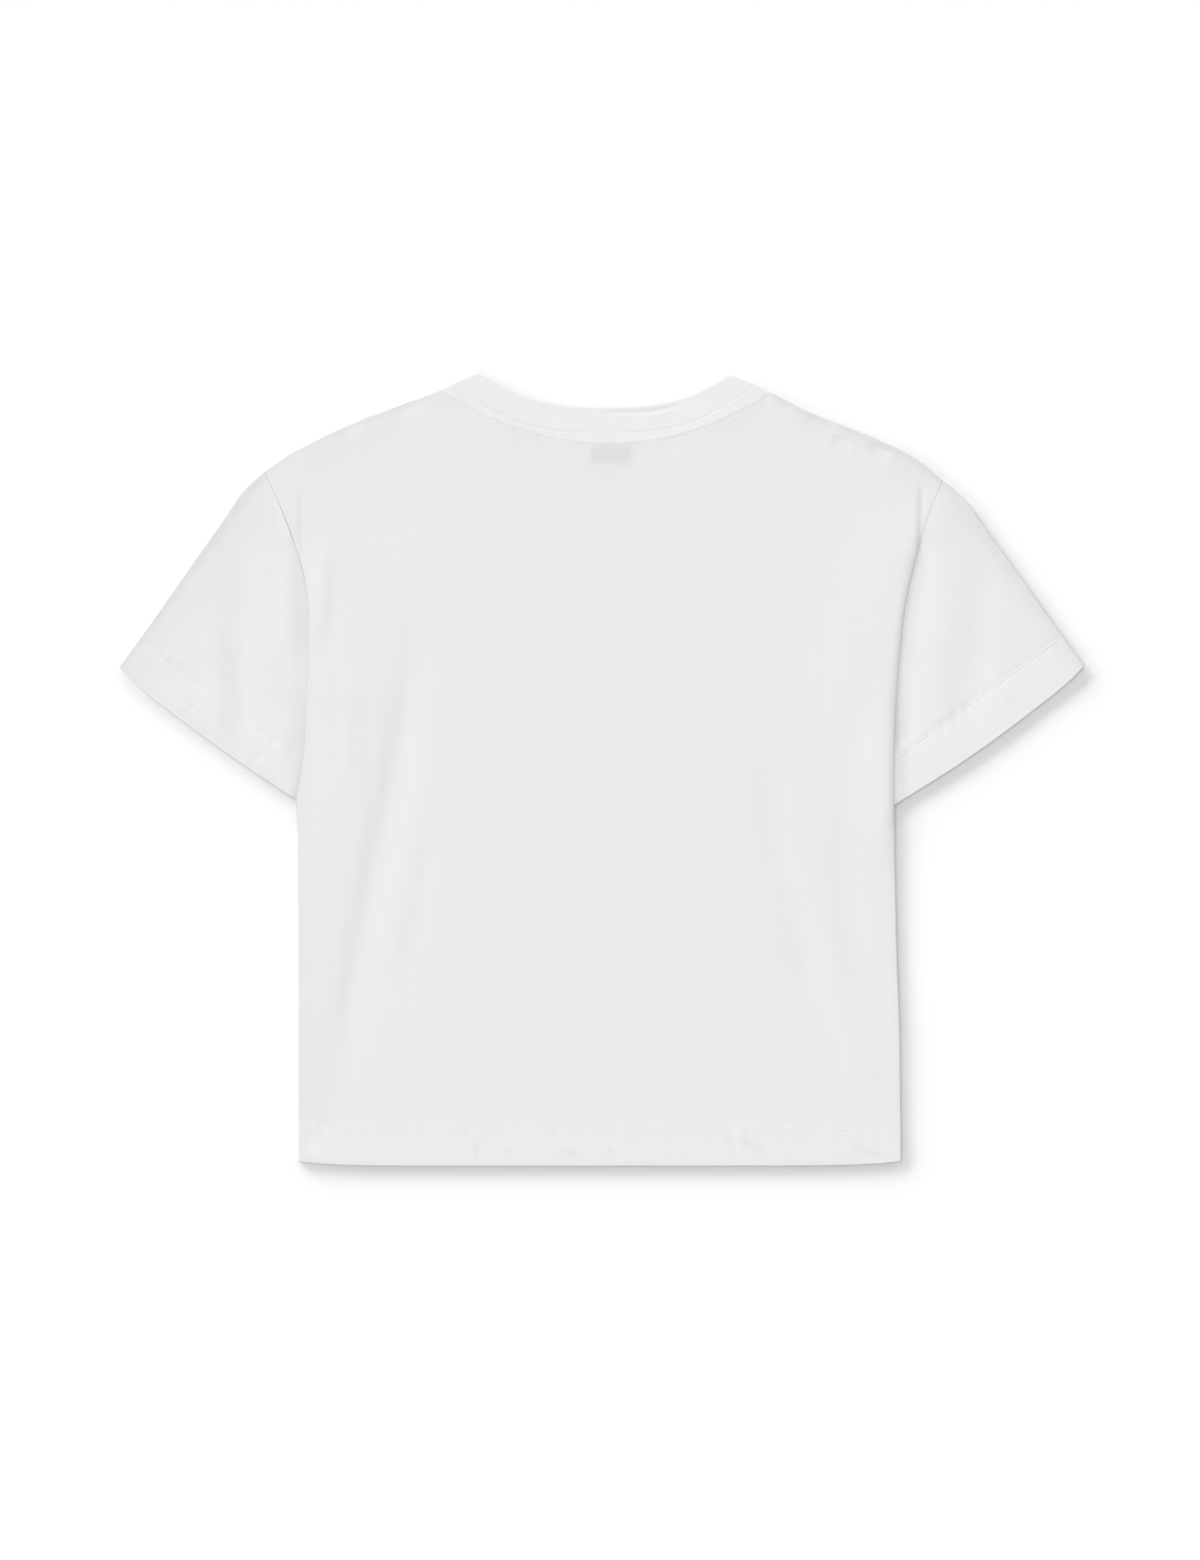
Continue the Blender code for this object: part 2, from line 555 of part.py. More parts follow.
def sleeve(side, material):
    """A flattened tube from the armhole to the cuff, its inner end between front and back."""
    sign = SIDES[side]
    out_x = sign * np.array((1.0, 0.0))
    edge = side_edge(side)
    cuff = cuff_edge(side)
    top = sleeve_top_edge(side)
    along_cuff = corner(UNDERARM, side) - corner(SLEEVE_TIP, side)
    along_cuff = along_cuff / np.hypot(*along_cuff)
    cuff_low = corner(UNDERARM, side) + along_cuff * UNDERARM_RISE
    seam_low = corner(UNDERARM, side) + np.array((-sign * TUCK, UNDERARM_SEAM))

    def armhole(share):
        """The sewn end, from the underarm up: tucked in below, a hair clear of the body above."""
        place = edge(mix(UNDERARM_SHARE, 1.0, np.asarray(share, float)))
        tucked = ease((TUCK_TOP - TUCK_START - place[..., 1]) / TUCK_BLEND)
        moved = place + out_x * mix(FACE_GAP, -TUCK, tucked)[..., None]
        near_low = ease(1.0 - np.asarray(share, float) / UNDERARM_BLEND)[..., None]
        return mix(moved, moved - moved[0] + seam_low, near_low)

    def cuff_up(share):
        """The hem of the sleeve, from its hidden lower end up to the tip."""
        share = np.asarray(share, float)
        hidden = ARMHOLE_SHARES[1]
        low = mix(cuff_low, corner(UNDERARM, side), np.clip(share / hidden, 0.0, 1.0)[..., None])
        high = cuff(np.clip(1.0 - (share - hidden) / (1.0 - hidden), 0.0, 1.0))
        return np.where((share < hidden)[..., None], low, high)

    def underarm(share):
        return mix(seam_low, cuff_low, np.asarray(share, float)[..., None])

    lengths = stations(SLEEVE_LENGTH, SLEEVE_STEPS, SLEEVE_LENGTHS, CUFF_STEPS)
    widths = ARMHOLE_SHARES
    plan = patch(underarm, top, armhole, cuff_up, lengths, widths)
    plan = np.swapaxes(plan, 0, 1)
    x, height = plan[..., 0], plan[..., 1]
    normal = np.array((-along_cuff[1], along_cuff[0])) * -sign
    from_cuff = np.abs((plan - corner(SLEEVE_TIP, side)) @ normal)
    from_cuff = from_cuff + CUFF_BOWS_OUT * ease((np.abs(x) - UNDERARM.left_x) / TUCK_RAMP)
    out = np.abs(x) - body_edge_x(side, height)
    tucked = over_sleeve(height)
    bottom = (CLOTH + FACE_GAP) * tucked * (1.0 - ease((out - TUCK_CLEAR) / (TUCK_FALL - TUCK_CLEAR)))
    turned = turned_up(from_cuff, CUFF_DEPTH) * ease(out / TUCK_FALL)
    thick = mix(CLOTH, TURNED, turned)
    from_fold = np.minimum(widths, 1.0 - widths) * ARMHOLE_LENGTH
    loft = SLEEVE_LOFT * ease(from_fold / LOFT_REACH)[None] * ease(out / ARMHOLE_REACH)
    loft = loft * mix(1.0, HEM_LOFT, turned)
    folds = relief(SLEEVE_FOLDS, x, height) * ease(from_fold / FOLD_REACH)[None]
    folds = folds * ease(out / TUCK_FALL) * mix(1.0, HEM_FOLDS, turned)
    over = bottom + 2.0 * thick + np.maximum(GAP + loft + folds, GAP)
    outer, inner = [], []
    for i in range(len(lengths)):
        start = plan[i, 0] - plan[i, 1]
        end = plan[i, -1] - plan[i, -2]
        ends = (start / np.hypot(*start), end / np.hypot(*end))
        line = plan[i].copy()
        line[0] -= ends[0] * FOLD_BULGE
        line[-1] -= ends[1] * FOLD_BULGE
        loops = ring(line, line, ends, (thick[i], thick[i]), (over[i], bottom[i]))
        outer.append(loops[0])
        inner.append(loops[1])
    return flat_tube(f"sleeve_{side}", np.array(outer), np.array(inner), material)


def collar(material):
    """A band of doubled rib round the neck: its back half on top, its front half below, with
    a fold at each side of the neck."""
    share = np.linspace(0.0, 1.0, NECK_COLUMNS + 1)
    lines = (back_neck(BACK_INNER), back_neck(BACK_SEAM))
    fronts = (front_neck(BACK_INNER, FRONT_INNER_MIDDLE), front_neck(BACK_SEAM, FRONT_SEAM_MIDDLE))
    outer, inner = [], []
    for band in COLLAR_BANDS:
        upper = mix(lines[0](share), lines[1](share), band.share)
        lower = mix(fronts[0](share), fronts[1](share), band.share)
        ends = []
        for side, at in (("left", 0), ("right", -1)):
            fold = lines[1](share)[at] - lines[0](share)[at]
            way = np.array((fold[1], -fold[0])) * -SIDES[side]
            ends.append(way / np.hypot(*way))
        lift = np.maximum(neck_under(upper[:, 0]) - TAPE - FACE_GAP, COLLAR_LOWEST)
        shaved = (RIB - band.thick) / 2.0
        heights = (lift + RIB - shaved, np.full(len(share), shaved))
        thick = np.full(len(share), band.thick)
        loops = ring(upper, lower, ends, (thick, thick), heights)
        outer.append(loops[0])
        inner.append(loops[1])
    return flat_tube("collar", np.array(outer), np.array(inner), material)


def neck_tape(material):
    """The strip inside the back that covers the collar's seam."""
    ends = TAPE_INSET - BACK_SEAM.left_x, BACK_SEAM.right_x - TAPE_INSET
    x = np.linspace(*ends, TAPE_COLUMNS + 1)
    top = neck_height(BACK_SEAM, x) - 3.0 * GAP
    return under_back("neck_tape", strip(x, neck_height(TAPE_EDGE, x), top), TAPE, material)


def neck_label(material):
    """A small label sewn on below the tape."""
    x = LABEL_X + LABEL_WIDTH * np.linspace(-0.5, 0.5, LABEL_COLUMNS + 1)
    top = np.full(len(x), neck_height(TAPE_EDGE, LABEL_X) - SEAM_GAP)
    return under_back("neck_label", strip(x, top - LABEL_DROP, top), LABEL, material)


def strip(x, bottom, top):
    """Plan of a narrow piece between two lines."""
    share = np.linspace(0.0, 1.0, STRIP_ROWS + 1)[:, None]
    height = mix(bottom[None], top[None], share)
    return np.stack((np.broadcast_to(x, height.shape), height), axis=-1)


def under_back(name, plan, thick, material):
    """A strip that lies against the underside of the back."""
    x, height = plan[..., 0], plan[..., 1]
    far = np.full(x.shape, LENGTH)
    from_top = neck_height(BACK_SEAM, x) - height
    under = back_under(x, height, far, from_top, far, np.ones(x.shape, bool))
    over = under - FACE_GAP
    return wall(name, plan, over - thick, over, material)


def cloth_material(name, colour):
    material = bpy.data.materials.new(name)
    material.use_nodes = True
    shader = material.node_tree.nodes["Principled BSDF"]
    shader.inputs["Base Color"].default_value = colour
    shader.inputs["Roughness"].default_value = MATTE
    shader.inputs["Metallic"].default_value = 0.0
    return material


def clear_scene():
    for left_over in list(bpy.data.objects):
        bpy.data.objects.remove(left_over, do_unlink=True)


def main():
    clear_scene()
    front_panel(cloth_material("jersey_front", WHITE))
    back_panel(cloth_material("jersey_back", WHITE))
    for side in SIDES:
        sleeve(side, cloth_material(f"jersey_{side}", WHITE))
    collar(cloth_material("rib", RIB_WHITE))
    neck_tape(cloth_material("tape", WHITE))
    neck_label(cloth_material("label", LABEL_GREY))


main()
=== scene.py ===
"""The looks of a cropped, boxy crew-neck T-shirt of white jersey, laid out flat and face down.

Sizes are in millimetres until a mesh is made. A place on the shirt is x, how far across it is
from the centre line, and y, how far from the lowest point of the hem towards the neck. Left
and right are as seen from above.
"""

from collections import namedtuple

import bpy
import numpy as np
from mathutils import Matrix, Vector
from mathutils.bvhtree import BVHTree


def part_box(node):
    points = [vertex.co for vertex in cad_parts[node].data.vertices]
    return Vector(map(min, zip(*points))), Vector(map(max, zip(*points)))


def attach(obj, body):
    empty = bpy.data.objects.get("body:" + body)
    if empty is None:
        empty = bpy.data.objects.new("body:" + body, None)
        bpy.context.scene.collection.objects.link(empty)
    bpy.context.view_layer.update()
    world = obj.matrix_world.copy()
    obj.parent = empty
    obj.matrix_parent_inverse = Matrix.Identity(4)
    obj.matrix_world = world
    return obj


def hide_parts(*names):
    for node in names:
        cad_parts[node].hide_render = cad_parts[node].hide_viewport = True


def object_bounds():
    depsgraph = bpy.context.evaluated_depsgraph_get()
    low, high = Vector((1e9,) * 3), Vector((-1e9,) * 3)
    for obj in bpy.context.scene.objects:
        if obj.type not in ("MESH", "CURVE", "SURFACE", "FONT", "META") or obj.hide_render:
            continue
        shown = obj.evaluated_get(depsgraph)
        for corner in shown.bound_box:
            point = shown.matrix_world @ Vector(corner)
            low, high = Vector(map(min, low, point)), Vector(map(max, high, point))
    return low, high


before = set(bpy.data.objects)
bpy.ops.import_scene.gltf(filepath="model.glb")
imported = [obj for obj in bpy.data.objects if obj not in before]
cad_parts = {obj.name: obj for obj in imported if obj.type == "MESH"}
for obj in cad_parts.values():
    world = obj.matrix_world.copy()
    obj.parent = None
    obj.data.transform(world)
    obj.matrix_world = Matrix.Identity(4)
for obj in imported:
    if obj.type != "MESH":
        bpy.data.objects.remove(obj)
CAD_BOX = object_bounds()

MM = 0.001

# Overall
LENGTH = 602
HEM_SAG = 3.6
HEM_SAG_POWER = 9  # the higher, the flatter its middle
HEM_DEPTH = 26
CUFF_DEPTH = {"left": 29.5, "right": 31.5}

# Thickness of the walls, and the clearance between pieces
CLOTH = 0.8
TURNED = 1.5
RIB = 1.6
TAPE = 0.5
LABEL = 0.4
FACE_GAP = 0.1
SEAM_GAP = 0.03

# How high the top of the cloth lies
BODY_TOP = 4.3
NECK_TOP = 3.7
NECK_SIDE_TOP = 4.3
SLEEVE_TOP = 3.9
SLEEVE_FOLD_TOP = 4.6
SLEEVE_END_TOP = {"left": 4.3, "right": 4.05}
SLEEVE_TUCKED_TOP = 2.9
INSIDE_LEAST = 0.05
THIN_RIM = 0.45

# How far the slopes beside edges and seams reach
ROUND_EDGE = 1.2
ROUND_DROP = 0.8
SEAM_DROP = 0.02
ARMHOLE_DROP = 0.4
NECK_SEAM_DROP = 0.15
SHARP_EDGE = 0.1
RIM = 3
HEM_BLEND = 26
CREASE_IN_HEM = 0.4
NECK_SLOPE = 42
STACK_START = 0.4
STACK_RAMP = 0.35
LEFT_DIP = 3.3
RIGHT_FLAT = 37
FOLD_SPRING = 25
CUFF_BLEND = 10
CUFF_BOWS_OUT = 3.7
CUFF_RAMP = 6
FOLD_REACH = 20

# The back over a tucked-in sleeve: it falls to the left edge, and rises before the right one
STACK_FADE_UP = 50
STACK_FADE_DOWN = 70
LEFT_FALL = 0.6
LEFT_REACH = 40
RIGHT_RISE = 1.5
RIGHT_REACH = 75
RIGHT_FALL = 1.6
RIGHT_ROLL = 3.8
Spot = namedtuple("Spot", "amount at width")
RIGHT_TIGHT = Spot(0.4, 410, 26)  # where it rolls down more steeply
LEFT_LOOSE = Spot(0.5, 365, 26)  # where the cloth lies higher

# How a sleeve's end is tucked in between front and back, from the underarm up
TUCK = 8
TUCK_TOP = 462
TUCK_RAMP = 20
TUCK_BLEND = 40
TUCK_START = 16
TUCK_CLEAR = 3
TUCK_FALL = 12.5
UNDERARM_RAMP = 14
UNDERARM_RISE = 10
UNDERARM_SEAM = 16
UNDERARM_BLEND = 0.12


def corners(left, right):
    return {"left": np.array(left), "right": np.array(right)}


HEM_CORNER = corners((-230.5, 3.6), (227, 3.8))
UNDERARM = corners((-231.4, 277.3), (221.5, 273.5))
SHOULDER_POINT = corners((-255.7, 526.2), (258, 519.4))
SLEEVE_TIP = corners((-365.5, 378.4), (365.5, 378.8))

# How far an edge leaves the straight line between its two corners: at a share of its length,
# on the left and on the right
SIDE_BOW = (  # inwards
    (0.20, 0.3, -0.4), (0.38, 0.4, -0.8), (0.55, 0.5, 0), (0.75, 0.4, 0.3),
)
ARMHOLE_BOW = (  # inwards
    (0.13, 8, 4.7), (0.29, 13.8, 9.4), (0.45, 19.6, 12.1), (0.61, 22.9, 13.6),
    (0.71, 20.7, 12), (0.81, 14.8, 9.2), (0.90, 8.6, 5.8),
)
SHOULDER_BOW = (  # upwards, from neck to sleeve
    (0.06, -0.2, 0.4), (0.27, 1.8, 0.2), (0.50, 4.8, 3.6), (0.72, 5, 5.9),
    (0.88, 3.5, 4.5),
)
SLEEVE_TOP_BOW = (  # upwards, from shoulder to cuff
    (0.11, 4, 4.5), (0.25, 3.3, 3.8), (0.50, 2, 2.9), (0.75, 0.7, 1.3),
)
CUFF_BOW = (  # outwards, from tip to underarm
    (0.08, 2.9, 2.3), (0.30, 4.1, 4.3), (0.65, 3.2, 4.2),
)

# Lines round the neck. Each back line rises from its middle to its ends as a power of the
# distance; each front line is most of half an ellipse that hangs from the same ends.
NeckLine = namedtuple("NeckLine", "left_x left_y right_x right_y middle left_power right_power")
NECK_CENTRE = 2.2
BACK_INNER = NeckLine(95, 600.4, 96, 599.5, 575.4, 2.4, 2.6)
BACK_SEAM = NeckLine(110.2, 594.2, 114.6, 592.2, 555.8, 2.8, 2.9)
TAPE_EDGE = NeckLine(122, 587.2, 125, 583.2, 546.5, 1.95, 2.15)
FRONT_INNER_MIDDLE = 507
FRONT_SEAM_MIDDLE = 489
NECK_TURN = np.radians(84)
FOLD_BULGE = 0.4
COLLAR_ROUND = 1.6  # how far the roundness of the collar's fold reaches
COLLAR_DROP = 0.1  # how much lower than the back it lies along its seam
COLLAR_LEAST = 0.1  # how far in its rims begin
COLLAR_SEAM = 0.86  # share of its thickness at its seam
BAND_STEP = 0.1
BAND_WIDTH = 17
NECK_AREA = {"beside": 20, "below": 60}  # how far beyond the tape it counts as the neck
NECK_FADE = 12

TAPE_INSET = 12
TAPE_CLEAR = 0.4
LABEL_WIDTH = 31
LABEL_DROP = 14
LABEL_X = 6.4
LABEL_DARKENS = 0.078  # the cloth that covers it
LABEL_BLUR = 3

# Creases: soft ridges, or troughs if the rise is negative. Each row has its rise, its width, how
# much it leans to make its left side (-1) or its right side (1) steeper, and places on its path.
BACK_CREASES = (
    # the long ones from armhole to hem
    (-1.35, 13, -0.4, (-141, 430), (-146, 375), (-152, 325), (-171, 232), (-187, 141), (-204, 30)),
    (-0.4, 9, -0.4, (-125, 282), (-134, 220), (-156, 124)),
    (-0.65, 12, -0.4, (117, 368), (124, 300), (133, 236), (146, 187), (156, 140), (190, 66)),
    (0.5, 12, 0, (167, 206), (181, 122), (208, 44)),
    (-0.6, 14, -0.2, (208, 400), (187, 296), (189, 176), (208, 90)),
    (0.6, 8, 0.8, (-208, 478), (-211, 430), (-219, 388)),
    # fullness along the side seams
    (0.3, 17, 0, (-226, 262), (-226, 190), (-226, 120)),
    (0.9, 15, 0, (-229, 150), (-229, 90), (-229, 20)),
    (0.5, 15, 0, (216, 350), (218, 290), (219, 215)),
    (0.5, 20, 0, (-192, 392), (-193, 330), (-197, 260)),
    (-0.8, 7, -0.5, (-200, 40), (-215, 24), (-230, 6)),
    # the shoulders
    (0.9, 16, 0, (-116, 587), (-190, 562), (-256, 524)),
    (0.9, 16, 0, (120, 584), (192, 556), (257, 517)),
    (-0.8, 6, -1.3, (-162, 571), (-149, 576), (-134, 582)),
    (-0.7, 5, -1.3, (-200, 558), (-190, 562), (-181, 566)),
    (-0.7, 6, 1.3, (154, 571), (167, 566), (180, 560)),
    (-0.4, 5, 1.3, (174, 553), (182, 550), (191, 547)),
    (-0.6, 5, 1.3, (202, 547), (211, 544), (221, 539)),
    # faint ones
    (0.14, 5, 0, (-214, 352), (-196, 395), (-182, 458)),
    (0.15, 4, 0, (-186, 440), (-190, 354), (-194, 270)),
    (-0.2, 6, 0, (-214, 472), (-138, 491), (-77, 510)),
    (0.15, 5, 0, (-164, 58), (-100, 60), (-32, 62)),
    (-0.12, 8, 0, (-60, 352), (10, 340), (70, 346)),
    (0.12, 9, 0, (96, 214), (60, 150), (70, 84)),
)
SLEEVE_CREASES = {"left": (
    (-0.75, 11, 0, (-275, 490), (-273, 392), (-275, 280)),
    (0.4, 8, 0.3, (-292, 430), (-291, 370), (-292, 310)),
    (0.4, 16, 0, (-240, 480), (-238, 390), (-240, 280)),
    (0.6, 8, 0, (-239, 468), (-237, 425), (-236, 382)),
    (0.35, 10, 0, (-240, 345), (-241, 315), (-241, 285)),
    (0.45, 5, 0.4, (-246, 519), (-238, 488), (-233, 462)),
), "right": (
    (0.25, 13, 0, (260, 575), (263, 440), (252, 300)),
    (0.45, 10, 0, (260, 545), (256, 500), (252, 440)),
    (-0.8, 14, 0, (290, 480), (285, 400), (271, 310)),
)}
COLLAR_CREASES = (
    (-0.42, 1.7, 0, (-4, 570.8), (22, 570.9), (34, 571.3), (50, 574), (66, 579)),
)
FRONT_CREASES = (
    (0.5, 14, 0, (150, 380), (166, 230), (204, 30)),
    (0.4, 11, 0, (128, 240), (134, 180), (148, 110)),
    (0.5, 13, 0, (-138, 300), (-150, 190), (-184, 70)),
    (0.4, 12, 0, (-196, 440), (-176, 330), (-172, 200)),
    (0.3, 9, 0, (-60, 420), (-20, 380), (30, 372)),
)

# Gentle unevenness all over
SWELL = 0.1
SWELL_LENGTH = 60
SWELL_REACH = 20
RIPPLE_WAVES = 7
RIPPLE_SPREAD = (0.7, 1.5)

CREASE_FADE = 0.3  # share of a crease's length over which each end dies away
CREASE_STEPS = 32
CREASE_REACH = 3  # in widths

# Short sharp puckers: in the turned-up hem and cuffs, and at the top of each armhole
BACK_PUCKERS = (
    (-0.4, 2.2, -1.2, (-229.5, 520), (-229, 490), (-228.5, 458)),
    (-0.85, 2.4, -1.2, (241.5, 522), (240.5, 495), (239.6, 452)),
    (-0.35, 2.6, -0.8, (-96, 19), (-95, 11), (-94, 2)),
    (-0.35, 2.6, -0.8, (-73, 15), (-70, 8), (-68, 1)),
    (-0.45, 2.8, 0.8, (-31, 12), (-20, 7), (-10, 2)),
    (-0.35, 2.6, -0.8, (4, 14), (9, 8), (13, 2)),
    (-0.3, 2.4, -0.8, (61, 11), (63, 6), (65, 1)),
    (-0.3, 2.6, -0.8, (94, 24), (98, 15), (102, 5)),
    (-0.5, 2.8, -0.6, (105, 20), (117, 11), (129, 3)),
    (-0.5, 3, 0.6, (184, 17), (202, 10), (220, 4)),
    (-0.12, 3, 0, (217, 48), (219, 28), (222, 8)),
)
CUFF_PUCKERS = {"left": (
    (0.45, 2.2, 0, (-339, 392), (-333, 386), (-327, 380)),
    (0.5, 2.2, 0, (-332, 392), (-325, 385), (-318, 377)),
    (0.35, 2.2, 0, (-325, 390), (-318, 382), (-311, 373)),
    (-0.5, 2.2, 0, (-276, 352), (-272, 345), (-268, 336)),
    (-0.25, 3, -0.5, (-318, 340), (-312, 346), (-304, 350)),
    (-0.25, 2.8, -0.5, (-268, 304), (-262, 309), (-258, 316)),
), "right": (
    (-0.35, 1.8, -0.5, (254, 338), (258, 333), (261, 327)),
    (-0.35, 1.8, -0.5, (264, 345), (268, 340), (271, 333)),
    (-0.25, 1.8, -0.5, (274, 351), (277, 347), (280, 341)),
    (-0.25, 2.4, -0.5, (306, 356), (311, 349), (318, 343)),
)}

# The groove that a row of stitches pulls into the cloth, and the ripple beside it
NECK_GROOVE = 0.22  # how deep
HEM_GROOVE = 0.11
GROOVE_WIDTH = 0.8
PULL_DEPTH = 0.07
PULL_LENGTH = 9
PULL_REACH = 7
STITCH_FADE = 6
FRONT_GROOVE = 0.6  # share of the groove on the underside of the front
FLAT_RIM = 4  # of the front
PUCKER_FADE = 4
STEP_WIDTH = 1.5  # at the edge of turned or doubled cloth

# Stitches
STITCH = 2.4
STITCH_PITCH = 3.1
THREAD = 0.26  # half its width
STITCH_RINGS = ((0, -0.30, 0.5), (0.2, 0.06, 0.9), (0.5, 0.18, 1), (0.8, 0.06, 0.9), (1, -0.30, 0.5))
STITCH_SIDES = 6
STITCH_CAPS = ((0, (0, 1, 2, 3)), (0, (3, 4, 5, 0)), (-1, (3, 2, 1, 0)), (-1, (0, 5, 4, 3)))
FIRST_STITCH = 0.5
HEM_ROW = (0.004, 0.996)  # the part of each path that is sewn
NECK_ROW = slice(6, -6)
CUFF_ROW = slice(16, -16)
LOOK = 0.1  # how far before and after a place its row's direction is taken
EYE_HEIGHT = 0.05  # metres

# Spacing of the mesh
EDGE_STEPS = (0, 0.05, 0.18, 0.4, 0.7, 1.1, 1.7, 2.5, 3.3, 4.1, 4.9, 5.7, 6.5, 7.5, 8.5, 9.5, 11,
              12.5)
NECK_STEPS = EDGE_STEPS[:5] + tuple(np.arange(1.1, 16, 0.45)) + (17, 19, 21.5)
NECK_END_STEPS = tuple(np.arange(0, 13, 1))
HEM_STEPS = (0, 0.07, 0.27, 0.6, 1, 1.6, 2.4, 3.6, 5.4, 7.6, 10, 12.4, 14.8, 17, 19, 21,
             22.6, 23.8, 24.6, 25.2, 25.8, 26.4, 27, 27.8, 29, 30.8)
SHOULDER_COLUMNS = 62
NECK_COLUMNS = 110
SIDE_ROWS = 48
ARMHOLE_ROWS = 44
SLEEVE_LENGTHS = 44
SLEEVE_ROWS = 120
TAPE_COLUMNS = 90
LABEL_COLUMNS = 26
STRIP_ROWS = 12
STRIP_STEPS = (0, 0.3, 0.7)
STRIP_LENGTH = 10
HIDDEN_STEPS = (0, 1, 2.5, 4, 6)
END_LEAST = 0.02  # how far in a sleeve's rims begin
BAND_ROWS = 22
ARC_STEPS = 10
OUTLINE_STEPS = 600
ALONG = np.linspace(0, 1, OUTLINE_STEPS)  # shares of an outline
SEAM_LENGTH = 272
ARMHOLE_LENGTH = 250
SHOULDER_LENGTH = 150
SLEEVE_LENGTH = 184

SIDES = {"left": -1, "right": 1}
FAR = 1000  # from any row of stitches

# Painted shade: how much darker the cloth's colour is painted in places that less light gets into, and how
# far that reaches
Shade = namedtuple("Shade", "amount width")
EDGE_SHADE = Shade(0.075, 4)
SIDE_SHADE = Shade(0.035, 4)
FAR_EDGE_SHADE = Shade(0.035, 11)  # the edges that face away from the light
ARMHOLE_SHADE = Shade(0.12, 0.9)
RIM_SHADE = Shade(0.35, 0.2)
RIGHT_ARMHOLE_SHADE = Shade(0.075, 4.5)
UNDERARM_SHADE = Shade(0.12, 7)  # on the right sleeve
UNDERARM_SHADE_TOP = 330
UNDERARM_SHADE_FADE = 50
SEAM_SHADE = Shade(0.035, 0.8)
SEAM_LIT = Spot(0.7, 15, 50)  # how much less the collar's seam is shaded on the right
STITCH_SHADE = Shade(0.045, 0.8)
LABEL_SHADE = Shade(0.03, 13)
PUCKER_SHADE = 0.09  # painted shade in the back's puckers, for each millimetre of depth
BAND_SHADE = Shade(0.012, 10)
FOLD_SHADE = Shade(0.012, 22)
# Painted highlight: how much lighter the colour is painted on the doubled cloth of the hem, the band below
# the collar and the cuffs
HEM_GLOW = 0.018
BAND_GLOW = 0.021
CUFF_GLOW = {"left": 0.008, "right": 0.019}

WHITE = (0.845, 0.845, 0.86)
RIB_WHITE = (0.856, 0.856, 0.869)
THREAD_WHITE = (0.86, 0.86, 0.875)
LABEL_GREY = (0.45, 0.45, 0.47)

# Light. Shares of what falls on the shirt, and how high and wide each lamp is in degrees
Lamp = namedtuple("Lamp", "share elevation width")
AMBIENT = 0.3
TOP_LIGHT = Lamp(0.53, 82, 50)
KEY_LIGHT = Lamp(0.17, 18, 20)
SHADOW_LIGHT = Lamp(0.12, 13.2, 20)  # on the floor alone, to draw the shirt's shadow out
SHADOW_TURNS = (-30, 0, 30)
HALO_LIGHTS = (  # on the floor alone, for the soft shade close by, and how far each is turned
    (Lamp(0.06, 40, 40), 80),
    (Lamp(0.05, 28, 30), 120),
    (Lamp(0.10, 24, 30), -80),
)
LIGHT_FROM = 136  # degrees from +X towards +Y; a turn is added to it
FLOOR = 0.6446
FLOOR_SIZE = 24
FLOOR_GAP = 0.0002
CAMERA_LENS = 85
CAMERA_OFFSET = Vector((-0.0014, -0.0086, 2.7916))  # from the middle of the shirt

# Pitch of columns and rows in the knit, the rib and the woven tape, and their depth, in metres
WALE = 0.0008
COURSE = 0.00062
RIB_WALE = 0.0016
RIB_COURSE = 0.0008
WARP = 0.0006
WEFT = 0.0005
KNIT_DEPTH = 0.00012
TAPE_DEPTH = 0.00008
LABEL_DEPTH = 0.00006

# Noise in the cloth: features to the metre across and along it, detail, and how much
Noise = namedtuple("Noise", "across along detail amount")
SLUBS = Noise(55, 420, 3, 0.028)
CLOUD = Noise(14, 14, 2, 0.016)
TWIST = Noise(2500, 700, 2, 0.08)
TUG = Noise(330, 260, 1, 0.0004)
TUG_REACH = 0.0035  # metres from a row of stitches
FUZZ = Noise(1500, 1500, 2, 0.00006)
BUMP = 0.7


# Curves

def ease(share):
    """From 0 to 1 with no corner at either end."""
    share = np.clip(share, 0, 1)
    return share * share * (3 - 2 * share)


def quarter_round(share):
    """From 0 to 1 as a quarter circle rises from its edge."""
    share = np.clip(share, 0, 1)
    return np.sqrt(1 - (1 - share) ** 2)


def bell(distance):
    return np.exp(-(distance**2))


def mix(first, second, share):
    return first + (second - first) * share


def smooth_through(places, values, at):
    """A smooth curve's value at `at`, where it passes through the values at these places."""
    places = np.array(places)
    values = np.array(values)
    slopes = np.gradient(values, places)
    low = np.clip(np.searchsorted(places, at) - 1, 0, len(places) - 2)
    step = places[low + 1] - places[low]
    t = (at - places[low]) / step
    turn = values[low] * (1 + 2 * t) * (1 - t) ** 2
    turn += slopes[low] * step * t * (1 - t) ** 2
    turn += values[low + 1] * (3 - 2 * t) * t**2
    return turn + slopes[low + 1] * step * (t - 1) * t**2


def axes(start, end):
    """Directions along a straight line and to the left of it."""
    along = (end - start) / np.hypot(*(end - start))
    return along, np.array((-along[1], along[0]))


def straight(start, end):
    return lambda share: mix(start, end, share[..., None])


def bowed(start, end, rows, side):
    """The curve from start to end that leaves the straight line by the bow of these rows."""
    shares, left, right = zip((0, 0, 0), *rows, (1, 0, 0))

    def curve(share):
        bow = smooth_through(shares, left if side == "left" else right, share)
        return straight(start, end)(share) + bow[..., None] * SIDES[side] * axes(start, end)[1]

    return curve


def joined(first, second, at):
    """Two curves end to end, the second from share `at` on."""

    def curve(share):
        low = first(np.clip(share / at, 0, 1))
        high = second(np.clip((share - at) / (1 - at), 0, 1))
        return np.where((share < at)[..., None], low, high)

    return curve


